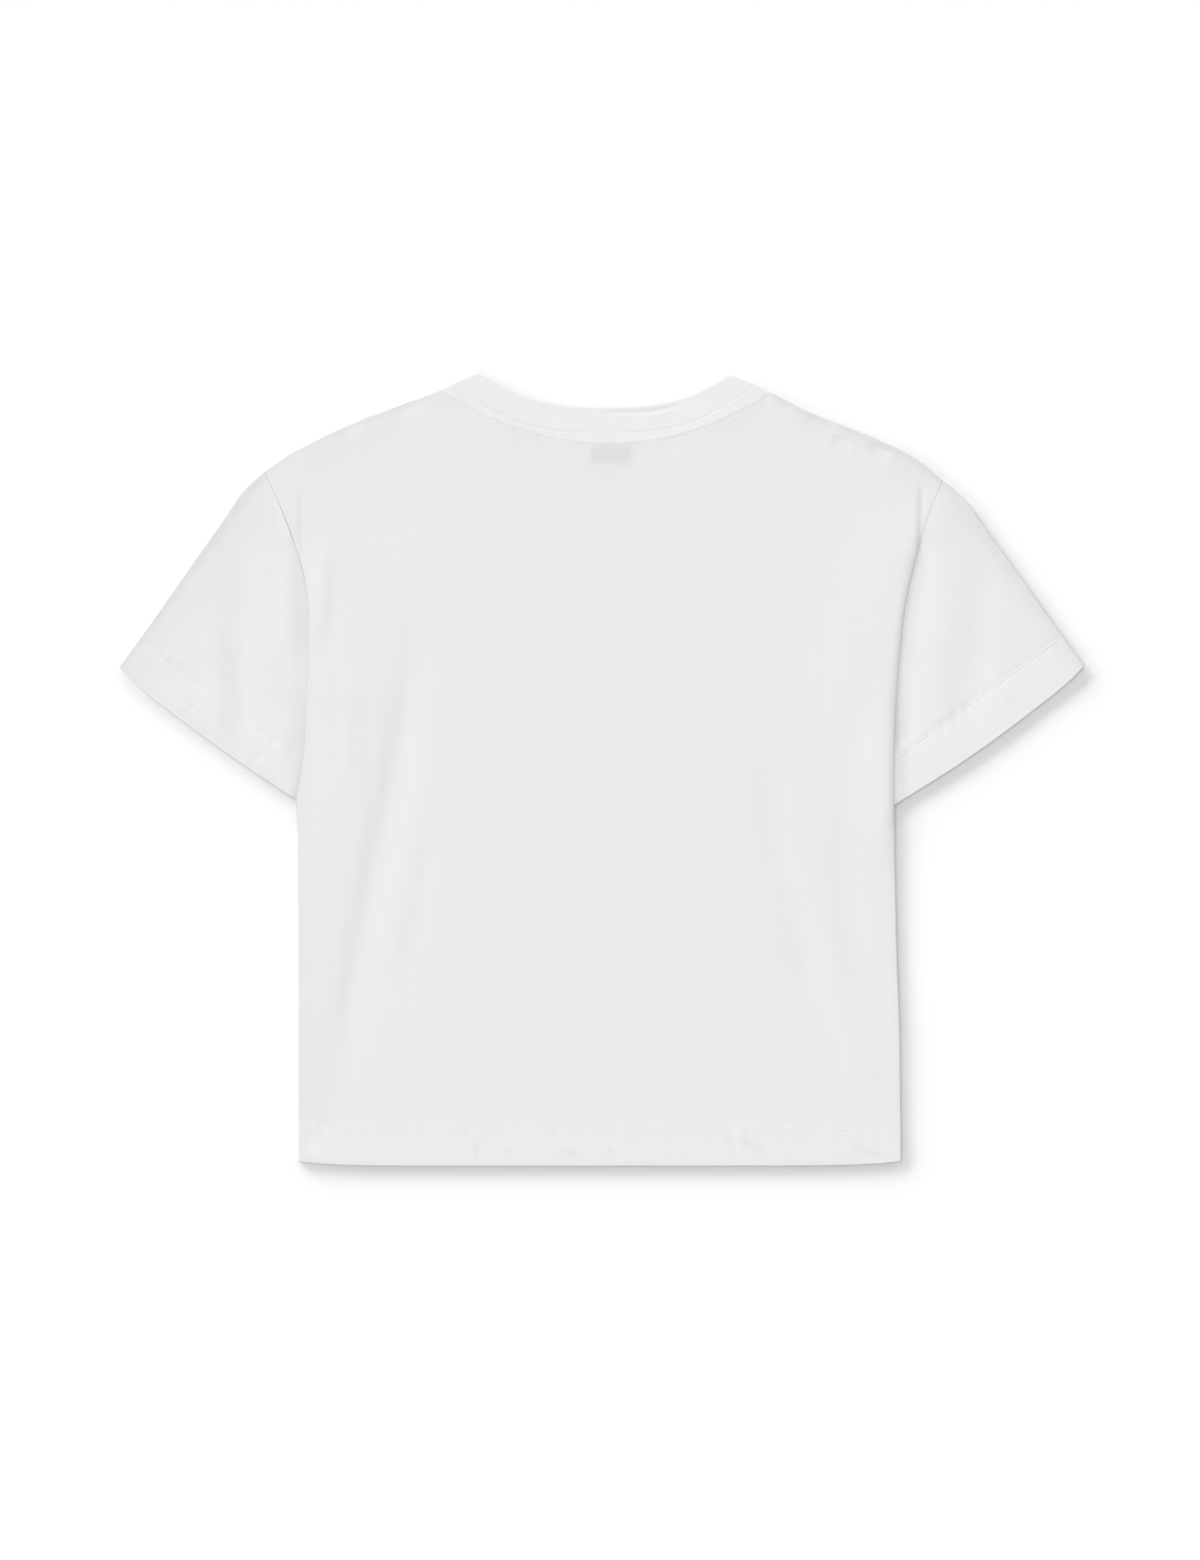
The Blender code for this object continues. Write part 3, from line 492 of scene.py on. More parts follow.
def patch(bottom, top, left, right, across, up, reach=1):
    """A grid between four edge curves. The left and right ones' bends die away over `reach`."""
    u, v = across[:, None], up[:, None, None]
    low, high = bottom(across), top(across)
    near = left(up)[:, None] - mix(low[0], high[0], v)
    far = right(up)[:, None] - mix(low[-1], high[-1], v)
    near_share = np.clip(1 - u / reach, 0, 1)
    far_share = np.clip(1 - (1 - u) / reach, 0, 1)
    return mix(low, high, v) + near * near_share + far * far_share


def stations(length, start_steps, count, end_steps):
    """Shares of a length: the given distances from each end, and even steps between."""
    start = np.array(start_steps) / length
    end = 1 - np.array(end_steps[::-1]) / length
    even = np.linspace(start[-1], end[0], count + 1)[1:-1]
    return np.concatenate((start, even, end))


# Outline

def side_edge(side):
    """Outline of the body on this side, from the hem up to the shoulder point."""
    underarm = UNDERARM[side]
    seam = bowed(HEM_CORNER[side], underarm, SIDE_BOW, side)
    armhole = bowed(underarm, SHOULDER_POINT[side], ARMHOLE_BOW, side)
    return joined(seam, armhole, UNDERARM_SHARE)


def hem_edge(share):
    line = straight(HEM_CORNER["left"], HEM_CORNER["right"])(share)
    line[..., 1] -= HEM_SAG * (1 - abs(2 * share - 1) ** HEM_SAG_POWER)
    return line


def neck_y(line, x):
    """Where a line round the back of the neck is, at x."""
    out = x - NECK_CENTRE
    left = abs(np.minimum(out, 0) / (line.left_x + NECK_CENTRE)) ** line.left_power
    right = (np.maximum(out, 0) / (line.right_x - NECK_CENTRE)) ** line.right_power
    left_rise, right_rise = line.left_y - line.middle, line.right_y - line.middle
    return line.middle + left_rise * left + right_rise * right


def back_neck(line, drop=0):
    """A line round the back of the neck, from left to right, moved down by drop."""

    def curve(share):
        x = mix(-line.left_x, line.right_x, share)
        return np.stack((x, neck_y(line, x) - drop), axis=-1)

    return curve


def front_neck(line, middle, drop=0):
    """Most of half an ellipse that hangs down in front from the ends of a back line."""
    level = np.cos(NECK_TURN)
    half = mix(line.left_x, line.right_x, 0.5)

    def curve(share):
        angle = (2 * share - 1) * NECK_TURN
        out = np.sin(angle) / np.sin(NECK_TURN)
        down = (np.cos(angle) - level) / (1 - level)
        x = line.right_x - half + (half + drop) * out
        top = mix(line.left_y, line.right_y, 0.5 + 0.5 * out)
        return np.stack((x, top - (top - middle + drop) * down), axis=-1)

    return curve


def top_edge(neck):
    """Outline of a panel's top, from the left shoulder round the neck to the right."""
    left = bowed(neck(0), SHOULDER_POINT["left"], SHOULDER_BOW, "left")
    right = bowed(neck(1), SHOULDER_POINT["right"], SHOULDER_BOW, "right")
    from_left = joined(lambda share: left(1 - share), neck, NECK_START / NECK_END)
    return joined(from_left, right, NECK_END)


# Shares of a panel's edges at which they turn a corner
TOP_WIDTH = SHOULDER_POINT["right"][0] - SHOULDER_POINT["left"][0]
NECK_START = -(SHOULDER_POINT["left"][0] + BACK_SEAM.left_x) / TOP_WIDTH
NECK_END = 1 - (SHOULDER_POINT["right"][0] - BACK_SEAM.right_x) / TOP_WIDTH
UNDERARM_SHARE = 0.52


def body_edge_x(side, y):
    """How far out the body's outline is on this side, at y."""
    line = side_edge(side)(ALONG)
    return np.interp(y, line[:, 1], abs(line[:, 0]))


def cuff_edge(side):
    """Outline of a sleeve's end, from its tip to the body."""
    return bowed(SLEEVE_TIP[side], UNDERARM[side], CUFF_BOW, side)


# Relief

def shade(kind, away):
    """How much darker the cloth's colour is painted this far from where its painted shade is darkest."""
    return kind.amount * bell(away / kind.width)


def ripple(x, y, length, seed):
    """Gentle unevenness between about -1 and 1: waves this long that run all ways."""
    draw = np.random.default_rng(seed)
    total = np.zeros_like(x)
    for _ in range(RIPPLE_WAVES):
        way = draw.uniform(0, np.pi)
        step = 2 * np.pi / (length * draw.uniform(*RIPPLE_SPREAD))
        start = draw.uniform(0, 2 * np.pi)
        total += np.sin((x * np.cos(way) + y * np.sin(way)) * step + start)
    return total / np.sqrt(RIPPLE_WAVES)


def crease_rise(crease, x, y):
    """Rise of the cloth that one crease gives."""
    rise, width, lean, *path = crease
    path = np.array(path)
    run = run_length(path)
    steps = np.linspace(0, run[-1], CREASE_STEPS + 1)
    line_x, line_y = (smooth_through(run, places, steps) for places in path.T)
    reach = CREASE_REACH * width
    near = (x > line_x.min() - reach) & (x < line_x.max() + reach)
    near &= (y > line_y.min() - reach) & (y < line_y.max() + reach)
    off_x, off_y = x[near][:, None] - line_x[:-1], y[near][:, None] - line_y[:-1]
    dx, dy = np.diff(line_x), np.diff(line_y)
    share = np.clip((off_x * dx + off_y * dy) / (dx * dx + dy * dy), 0, 1)
    off_x -= share * dx
    off_y -= share * dy
    away = np.hypot(off_x, off_y)
    nearest = away.argmin(axis=1)
    at = np.arange(len(nearest)), nearest
    along = (nearest + share[at]) / CREASE_STEPS
    width *= 1 - lean / 2 * np.sign(off_x[at])
    ends = ease(np.minimum(along, 1 - along) / CREASE_FADE)
    total = np.zeros_like(x)
    total[near] = rise * ends * bell(away[at] / width)
    return total


def relief(rows, x, y):
    """Rise of the cloth that the creases give together."""
    return sum(crease_rise(crease, x, y) for crease in rows)


def stitched(distance, along, depth, seed):
    """The groove and the ripple that a row of stitches gives the cloth at this distance."""
    pull = PULL_DEPTH * ripple(along, np.zeros_like(along), PULL_LENGTH, seed)
    return pull * bell(distance / PULL_REACH) - depth * bell(distance / GROOVE_WIDTH)


# Heights of the layers

def over_sleeve(y):
    """1 where the back lies over a tucked-in sleeve end, 0 clear of it."""
    low = UNDERARM["right"][1] - TUCK
    rise = ease((y - low + UNDERARM_RAMP) / UNDERARM_RISE)
    return rise * ease((TUCK_TOP + TUCK_RAMP - y) / TUCK_RAMP)


def turned_up(beyond):
    """1 on doubled cloth, 0 beyond its edge."""
    return 1 - ease((beyond + 1) / 2)


def panel_wall(from_hem):
    return mix(CLOTH, TURNED, turned_up(from_hem - HEM_DEPTH))


def cuff_axes(side):
    """Directions along a cuff to the underarm, and from the cuff into the sleeve."""
    along, left = axes(SLEEVE_TIP[side], UNDERARM[side])
    return along, -SIDES[side] * left


def from_cuff_edge(side, plan):
    """How far in from its cuff each place of a sleeve is."""
    beyond = abs(plan[..., 0]) - abs(UNDERARM[side][0])
    straight = abs((plan - SLEEVE_TIP[side]) @ cuff_axes(side)[1])
    return straight + CUFF_BOWS_OUT * ease(beyond / CUFF_RAMP)


def pressed_top(bottom, plan):
    """Top of the right sleeve at the body, where its layers lie pressed together."""
    near_cuff = 1 - ease((from_cuff_edge("right", plan) - CUFF_DEPTH["right"]) / CUFF_BLEND)
    return bottom + 2 * mix(CLOTH, TURNED, near_cuff) + 2 * INSIDE_LEAST


def neck_top(x):
    """Top of the back along the collar: higher at the sides of the neck, over the front."""
    out = abs(x - NECK_CENTRE) / mix(BACK_SEAM.left_x, BACK_SEAM.right_x, 0.5)
    return mix(NECK_TOP, NECK_SIDE_TOP, ease((out - STACK_START) / STACK_RAMP))


def at_spot(spot, y):
    return spot.amount * bell((y - spot.at) / spot.width)


def loose(x, y):
    """How much higher the cloth lies at the loose place on the left armhole."""
    return at_spot(LEFT_LOOSE, y) * (x < 0)


def beside_armhole(x, y, from_side):
    """Rise of the back beside the armholes."""
    above = ease((TUCK_TOP + STACK_FADE_UP - y) / STACK_FADE_UP)
    above *= ease((y - UNDERARM["left"][1] + TUCK) / STACK_FADE_DOWN + 1)
    left = -LEFT_FALL * ease(1 - from_side / LEFT_REACH)
    left += loose(x, y) * ease(1 - from_side / LEFT_REACH)
    right = RIGHT_RISE * ease(1 - from_side / RIGHT_REACH)
    roll = RIGHT_ROLL * (1 - at_spot(RIGHT_TIGHT, y))
    right -= RIGHT_FALL * np.exp(-from_side / roll)
    return above * np.where(x < 0, left, right)


def open_edge(from_side, from_top, at_neck):
    """How far in from the nearest edge that has no collar."""
    return np.minimum(from_side, np.where(at_neck, LENGTH, from_top))


def back_top(x, y, from_side, from_top, from_hem, at_neck):
    """Top of the back. from_side is how far in it is from either outline."""
    above_hem = ease((from_hem - HEM_DEPTH) / HEM_BLEND)
    top = BODY_TOP + relief(BACK_CREASES, x, y) * mix(CREASE_IN_HEM, 1, above_hem)
    top += beside_armhole(x, y, from_side)
    top = mix(neck_top(x), top, np.where(at_neck, ease(from_top / NECK_SLOPE), 1))
    from_edge = open_edge(from_side, from_top, at_neck)
    at_armhole = ease((y - UNDERARM["left"][1]) / TUCK) * (from_side < from_top)
    over_right = (x > 0) & (y < TUCK_TOP)
    drop = mix(ROUND_DROP, np.where(over_right, ARMHOLE_DROP, SEAM_DROP), at_armhole)
    top -= drop * (1 - quarter_round(from_edge / ROUND_EDGE))
    return top - at_neck * NECK_SEAM_DROP * (1 - ease(from_top / ROUND_EDGE))


def back_under(top, x, y, from_side, from_top, from_hem, at_neck):
    """Underside of the back: one wall below its top, and down to what lies below at the rim."""
    under = top - panel_wall(from_hem)
    pressed = pressed_top(CLOTH + FACE_GAP, np.dstack((x, y)))
    tucked_top = np.maximum(SLEEVE_TUCKED_TOP + loose(x, y), np.where(x > 0, pressed, 0))
    below = mix(panel_wall(from_hem), tucked_top, over_sleeve(y)) + FACE_GAP
    from_edge = open_edge(from_side, from_top, at_neck)
    thin = mix(THIN_RIM, CLOTH, ease((from_side - TUCK) / TUCK))
    under = mix(np.minimum(below, under), under, ease(from_edge / RIM))
    return np.maximum(under, np.minimum(below, top - thin))


# Meshes

def add_piece(name, places, faces, material, weave, line=FAR, tone=1):
    """A mesh from places in millimetres. weave is where each place is on the flat cloth, along
    and across its grain; line is how far it is from a row of stitches; tone scales its colour
    and carries the painted shade and painted highlights."""
    low, high = CAD_BOX
    origin = (low.x + high.x) / 2, (low.y + high.y - LENGTH * MM) / 2, low.z
    mesh = bpy.data.meshes.new(name)
    mesh.from_pydata(places * MM + origin, [], faces)
    weave = np.column_stack((weave * MM, np.zeros(len(weave))))
    for field, values in (("weave", weave), ("line", line * MM), ("tone", tone)):
        kind, slot = ("FLOAT_VECTOR", "vector") if field == "weave" else ("FLOAT", "value")
        values = np.broadcast_to(values, (len(places), *np.shape(values)[1:])).astype(np.float32)
        mesh.attributes.new(field, kind, "POINT").data.foreach_set(slot, values.ravel())
    mesh.materials.append(material)
    mesh.shade_smooth()
    mesh.validate()
    made = bpy.data.objects.new(name, mesh)
    bpy.context.scene.collection.objects.link(made)
    return made


def grid_faces(index):
    """Quads between the rows and columns of a grid of point numbers."""
    corners = (index[:-1, :-1], index[:-1, 1:], index[1:, 1:], index[1:, :-1])
    return np.stack(corners, axis=-1).reshape(-1, 4)


def from_border(plan):
    """How far each place of a grid is from its left, right, top and bottom borders."""
    edges = plan[:, :1], plan[:, -1:], plan[-1:], plan[:1]
    return [np.linalg.norm(plan - edge, axis=-1) for edge in edges]


def shell_piece(name, plan, under, over, from_edge, material, line=FAR, tone=1):
    """A closed shell whose underside and top share a grid and meet at its border. from_edge is
    how far in from the border each place is."""
    half = (over - under) / 2 * quarter_round(from_edge / SHARP_EDGE)
    middle = (over + under) / 2
    number = np.arange(middle.size).reshape(middle.shape)
    inside = np.zeros(middle.shape, bool)
    inside[1:-1, 1:-1] = True
    lower = number.copy()
    lower[inside] = middle.size + np.arange(inside.sum())
    top = np.where(inside, middle + half, middle)
    places = np.concatenate((
        np.dstack((plan, top)).reshape(-1, 3),
        np.dstack((plan, middle - half))[inside],
    ))
    faces = np.concatenate((grid_faces(number), grid_faces(lower)[:, ::-1]))
    number = np.concatenate((number.ravel(), number[inside]))
    line, tone = (np.broadcast_to(values, top.shape).ravel()[number] for values in (line, tone))
    return add_piece(name, places, faces, material, plan.reshape(-1, 2)[number], line, tone)


def ring(upper, lower, ends, walls, heights):
    """Outer and inner places round one length of a flattened tube. Upper and lower have plan
    and cloth coordinates from its first fold to its second, ends the outward directions of the
    folds, walls the thickness of both, and heights the outside of both."""
    loops = []
    for inset in (0, 1):
        high, low = heights[0] - inset * walls[0], heights[1] + inset * walls[1]
        loop = [np.column_stack((lower, low))]
        for at, sign in ((-1, 1), (0, -1)):
            angles = np.linspace(-0.5, 0.5, ARC_STEPS + 1)[1:-1] * np.pi * sign
            foot = np.tile((lower[at] + upper[at]) / 2, (len(angles), 1))
            foot[:, :2] += ends[at] * mix(FOLD_BULGE, SEAM_GAP, inset) * np.cos(angles)[:, None]
            z = (high[at] + low[at]) / 2 + (high[at] - low[at]) / 2 * np.sin(angles)
            loop.append(np.column_stack((foot, z)))
            if at:
                loop.append(np.column_stack((upper, high))[::-1])
        loops.append(np.concatenate(loop))
    return loops


def flat_tube(rows):
    """Places and faces of a flattened tube, from what ring needs at each of its lengths."""
    points = np.swapaxes([ring(*row) for row in rows], 0, 1)
    _, lengths, around, values = points.shape
    skin = lengths * around
    number = np.arange(skin).reshape(lengths, around)
    number = np.column_stack((number, number[:, 0]))
    parts = [grid_faces(number), grid_faces(number)[:, ::-1] + skin]
    for row, turn in ((0, -1), (-1, 1)):
        parts.append(grid_faces(np.stack((number[row], number[row] + skin)))[:, ::turn])
    return points.reshape(-1, values), np.concatenate(parts)


# Materials

def node(kind, *inputs, **settings):
    """A node with these settings, its inputs linked or set in order, as its first output. It
    stands in the tree that its linked inputs come from."""
    tree = next(value.id_data for value in inputs if isinstance(value, bpy.types.NodeSocket))
    made = tree.nodes.new("ShaderNode" + kind)
    for name, value in settings.items():
        setattr(made, name, value)
    for socket, value in zip(made.inputs, inputs):
        if isinstance(value, bpy.types.NodeSocket):
            tree.links.new(value, socket)
        elif value is not None:
            socket.default_value = value
    return made.outputs[0]


def maths(operation, *inputs):
    return node("Math", *inputs, operation=operation)


def times(*inputs):
    return maths("MULTIPLY", *inputs)


def scale_add(*inputs):
    return maths("MULTIPLY_ADD", *inputs)


def attribute(tree, name, output):
    made = tree.nodes.new("ShaderNodeAttribute")
    made.attribute_name = name
    return made.outputs[output]


def separate(vector):
    return node("SeparateXYZ", vector).node.outputs[:2]


def noise(weave, kind):
    place = node("VectorMath", weave, (kind.across, kind.along, 1), operation="MULTIPLY")
    return node("TexNoise", place, None, 1, kind.detail)


def uneven(noise_value, kind):
    """Noise about 1, to scale a colour by."""
    return scale_add(noise_value, kind.amount, 1 - kind.amount / 2)


def new_material(name, **values):
    """A material, its nodes and its shader, with these values on the shader's own sockets."""
    material = bpy.data.materials.new(name)
    material.use_nodes = True
    shader = material.node_tree.nodes["Principled BSDF"]
    for socket, value in values.items():
        shader.inputs[socket.replace("_", " ")].default_value = value
    return material, material.node_tree, shader


def tint(shader, colour, tone):
    scaled = node("VectorMath", colour, None, None, tone, operation="SCALE")
    shader.id_data.links.new(scaled, shader.inputs["Base Color"])


def bands(place, pitch):
    """A soft wave from 0 to 1 with this pitch."""
    turn = times(place, 2 * np.pi / pitch)
    return scale_add(maths("COSINE", turn), 0.5, 0.5)


def knit(weave):
    """Height of plain knit, from 0 to 1: columns of small V-shaped loops."""
    across, along = separate(weave)
    slant = maths("PINGPONG", across, WALE / 2)
    loops = bands(maths("ADD", along, slant), COURSE)
    columns = bands(across, WALE)
    return times(columns, scale_add(loops, 0.35, 0.65))


def ribs(weave):
    """Height of fine rib knit, from 0 to 1."""
    across, along = separate(weave)
    columns = bands(across, RIB_WALE)
    loops = bands(along, RIB_COURSE)
    return times(columns, scale_add(loops, 0.2, 0.8))


def plain_weave(weave):
    """Height of a fine woven tape, from 0 to 1."""
    across, along = separate(weave)
    return times(bands(across, WARP), bands(along, WEFT))


def cloth_material(name, colour, pattern, depth, label=False):
    """A matte cloth: its knit or weave, slubs, a cloudy tone, the painted shade and painted highlights of
    its tone attribute, and puckers beside stitches.
    """
    material, tree, shader = new_material(
        name, Roughness=0.92, Specular_IOR_Level=0.2, Sheen_Weight=0.08, Sheen_Roughness=0.6,
    )
    weave = attribute(tree, "weave", "Vector")
    line = attribute(tree, "line", "Fac")
    slubs, cloud = noise(weave, SLUBS), noise(weave, CLOUD)
    tone = times(uneven(slubs, SLUBS), uneven(cloud, CLOUD))
    # the painted shade and painted highlights of each place
    tone = times(tone, attribute(tree, "tone", "Fac"))
    if label:
        tone = times(tone, label_shade(weave))
    tint(shader, colour, tone)
    near = maths("POWER", maths("DIVIDE", line, TUG_REACH), 2)
    near = maths("EXPONENT", times(near, -1))
    tug = times(noise(weave, TUG), near)
    height = scale_add(pattern(weave), depth, None)
    fuzz = noise(weave, FUZZ)
    rough = scale_add(fuzz, FUZZ.amount, times(tug, TUG.amount))
    tree.links.new(rough, height.node.inputs[2])
    bump = tree.nodes.new("ShaderNodeBump")
    bump.inputs["Strength"].default_value = BUMP
    bump.inputs["Distance"].default_value = 1
    tree.links.new(height, bump.inputs["Height"])
    tree.links.new(bump.outputs[0], shader.inputs["Normal"])
    return material


def label_shade(weave):
    """How the label below darkens the cloth that covers it."""
    low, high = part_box("neck_label")
    middle_x = (low.x + high.x) / 2
    middle_y = (neck_y(TAPE_EDGE, LABEL_X) - TAPE_CLEAR - LABEL_DROP / 2) * MM
    across, along = separate(weave)
    shade = 1
    for place, middle, size in ((across, middle_x, LABEL_WIDTH), (along, middle_y, LABEL_DROP)):
        away = maths("ABSOLUTE", maths("SUBTRACT", place, middle))
        near, far = (size / 2 - LABEL_BLUR) * MM, (size / 2 + LABEL_BLUR) * MM
        inside = node("MapRange", away, near, far, 1, 0, interpolation_type="SMOOTHSTEP")
        shade = times(shade, inside)
    return scale_add(shade, -LABEL_DARKENS, 1)


def thread_material():
    material, tree, shader = new_material("thread", Roughness=0.6, Sheen_Weight=0.1)
    weave = attribute(tree, "weave", "Vector")
    tint(shader, THREAD_WHITE, uneven(noise(weave, TWIST), TWIST))
    return material


# Pieces

def panel_grid(neck):
    """Plan of a panel, how far in it is from its sides, top and hem, and where it ends at the neck."""
    shoulder = stations(SHOULDER_LENGTH, EDGE_STEPS, SHOULDER_COLUMNS, NECK_END_STEPS)
    across = np.concatenate((
        shoulder * NECK_START,
        mix(NECK_START, NECK_END, np.linspace(0, 1, NECK_COLUMNS + 1))[1:-1],
        (1 - (1 - NECK_END) * shoulder)[::-1],
    ))
    lower = stations(SEAM_LENGTH, HEM_STEPS, SIDE_ROWS, (0,))
    upper = stations(ARMHOLE_LENGTH, (0,), ARMHOLE_ROWS, NECK_STEPS)
    up = np.concatenate((lower * UNDERARM_SHARE, mix(UNDERARM_SHARE, 1, upper)[1:]))
    sides = side_edge("left"), side_edge("right")
    plan = patch(hem_edge, top_edge(neck), *sides, across, up, reach=NECK_START)
    left, right, from_top, from_hem = from_border(plan)
    at_neck = (across > NECK_START - 1e-9) & (across < NECK_END + 1e-9)
    return plan, np.minimum(left, right), from_top, from_hem, np.broadcast_to(at_neck, left.shape)


def from_tape_edge(x, y):
    """How far below the stitched line round the back of the neck a place is."""
    step = 1
    slope = (neck_y(TAPE_EDGE, x + step) - neck_y(TAPE_EDGE, x - step)) / (2 * step)
    return (neck_y(TAPE_EDGE, x) - y) / np.hypot(1, slope)


def back_piece(material):
    plan, *inset, at_neck = panel_grid(back_neck(BACK_SEAM, drop=SEAM_GAP))
    from_side, from_top, from_hem = inset
    x, y = plan[..., 0], plan[..., 1]
    over = back_top(x, y, *inset, at_neck)
    swell = SWELL * ripple(x, y, SWELL_LENGTH, 1)
    over += swell * ease(from_side / SWELL_REACH) * ease(from_hem / SWELL_REACH / 2)
    under = back_under(over, x, y, *inset, at_neck)
    below_tape = from_tape_edge(x, y)
    by_neck = abs(x) < TAPE_EDGE.right_x + NECK_AREA["beside"]
    is_neck_row = by_neck & (below_tape < NECK_AREA["below"])
    line = np.where(is_neck_row, below_tape, from_hem - HEM_DEPTH)
    puckers = relief(BACK_PUCKERS, x, y) * ease(from_hem / PUCKER_FADE + 0.5)
    over += stitched(line, x, np.where(is_neck_row, NECK_GROOVE, HEM_GROOVE), 2) + puckers
    over += by_neck * BAND_STEP * ease(-below_tape / STEP_WIDTH)
    from_outline = np.minimum(np.where(y < UNDERARM["right"][1], from_side, LENGTH), from_hem)
    clear_of_neck = ease((abs(x) - TAPE_EDGE.left_x) / NECK_FADE) * ~at_neck
    tucked = over_sleeve(y)
    # The tone paints light and shade into the colour: a painted highlight on the band and the turned-up
    # hem, and painted shade below the band, round the label, along the stitched line, in the puckers,
    # along the outlines, at the armholes and along the collar's seam.
    below = shade(BAND_SHADE, below_tape)
    below += shade(LABEL_SHADE, np.hypot((x - LABEL_X) / 2, below_tape - LABEL_DROP))
    tone = 1 + by_neck * (np.where(below_tape < 0, BAND_GLOW, -below) - shade(STITCH_SHADE, below_tape))
    tone += HEM_GLOW * turned_up(from_hem - HEM_DEPTH) + PUCKER_SHADE * puckers
    tone -= shade(SIDE_SHADE, from_outline) + shade(EDGE_SHADE, from_top) * clear_of_neck
    tone -= shade(FAR_EDGE_SHADE, from_top) * clear_of_neck * (x > 0)
    tone -= (shade(ARMHOLE_SHADE, from_side) + shade(RIM_SHADE, from_side)) * tucked * (x < 0)
    tone -= shade(RIGHT_ARMHOLE_SHADE, from_side) * tucked * (x > 0)
    lit = SEAM_LIT.amount * ease(0.5 + (x - SEAM_LIT.at) / SEAM_LIT.width)
    tone -= shade(SEAM_SHADE, from_top) * at_neck * (1 - lit)
    return shell_piece("back_cloth", plan, under, over, np.minimum.reduce(inset), material, line, tone)


def front_piece(material):
    neck = front_neck(BACK_SEAM, FRONT_SEAM_MIDDLE, drop=SEAM_GAP)
    plan, *inset, _ = panel_grid(neck)
    x, y = plan[..., 0], plan[..., 1]
    from_hem, inside = inset[2], np.minimum.reduce(inset)
    lift = relief(FRONT_CREASES, x, y) * ease((inside - FLAT_RIM) / FLAT_RIM / 5)
    line = from_hem - HEM_DEPTH
    under = np.maximum(lift, 0)
    under -= FRONT_GROOVE * stitched(line, x, HEM_GROOVE, 5) * ease(inside / STITCH_FADE)
    under = np.maximum(under, 0)
    return shell_piece("front_cloth", plan, under, panel_wall(from_hem) + lift, inside, material, line)


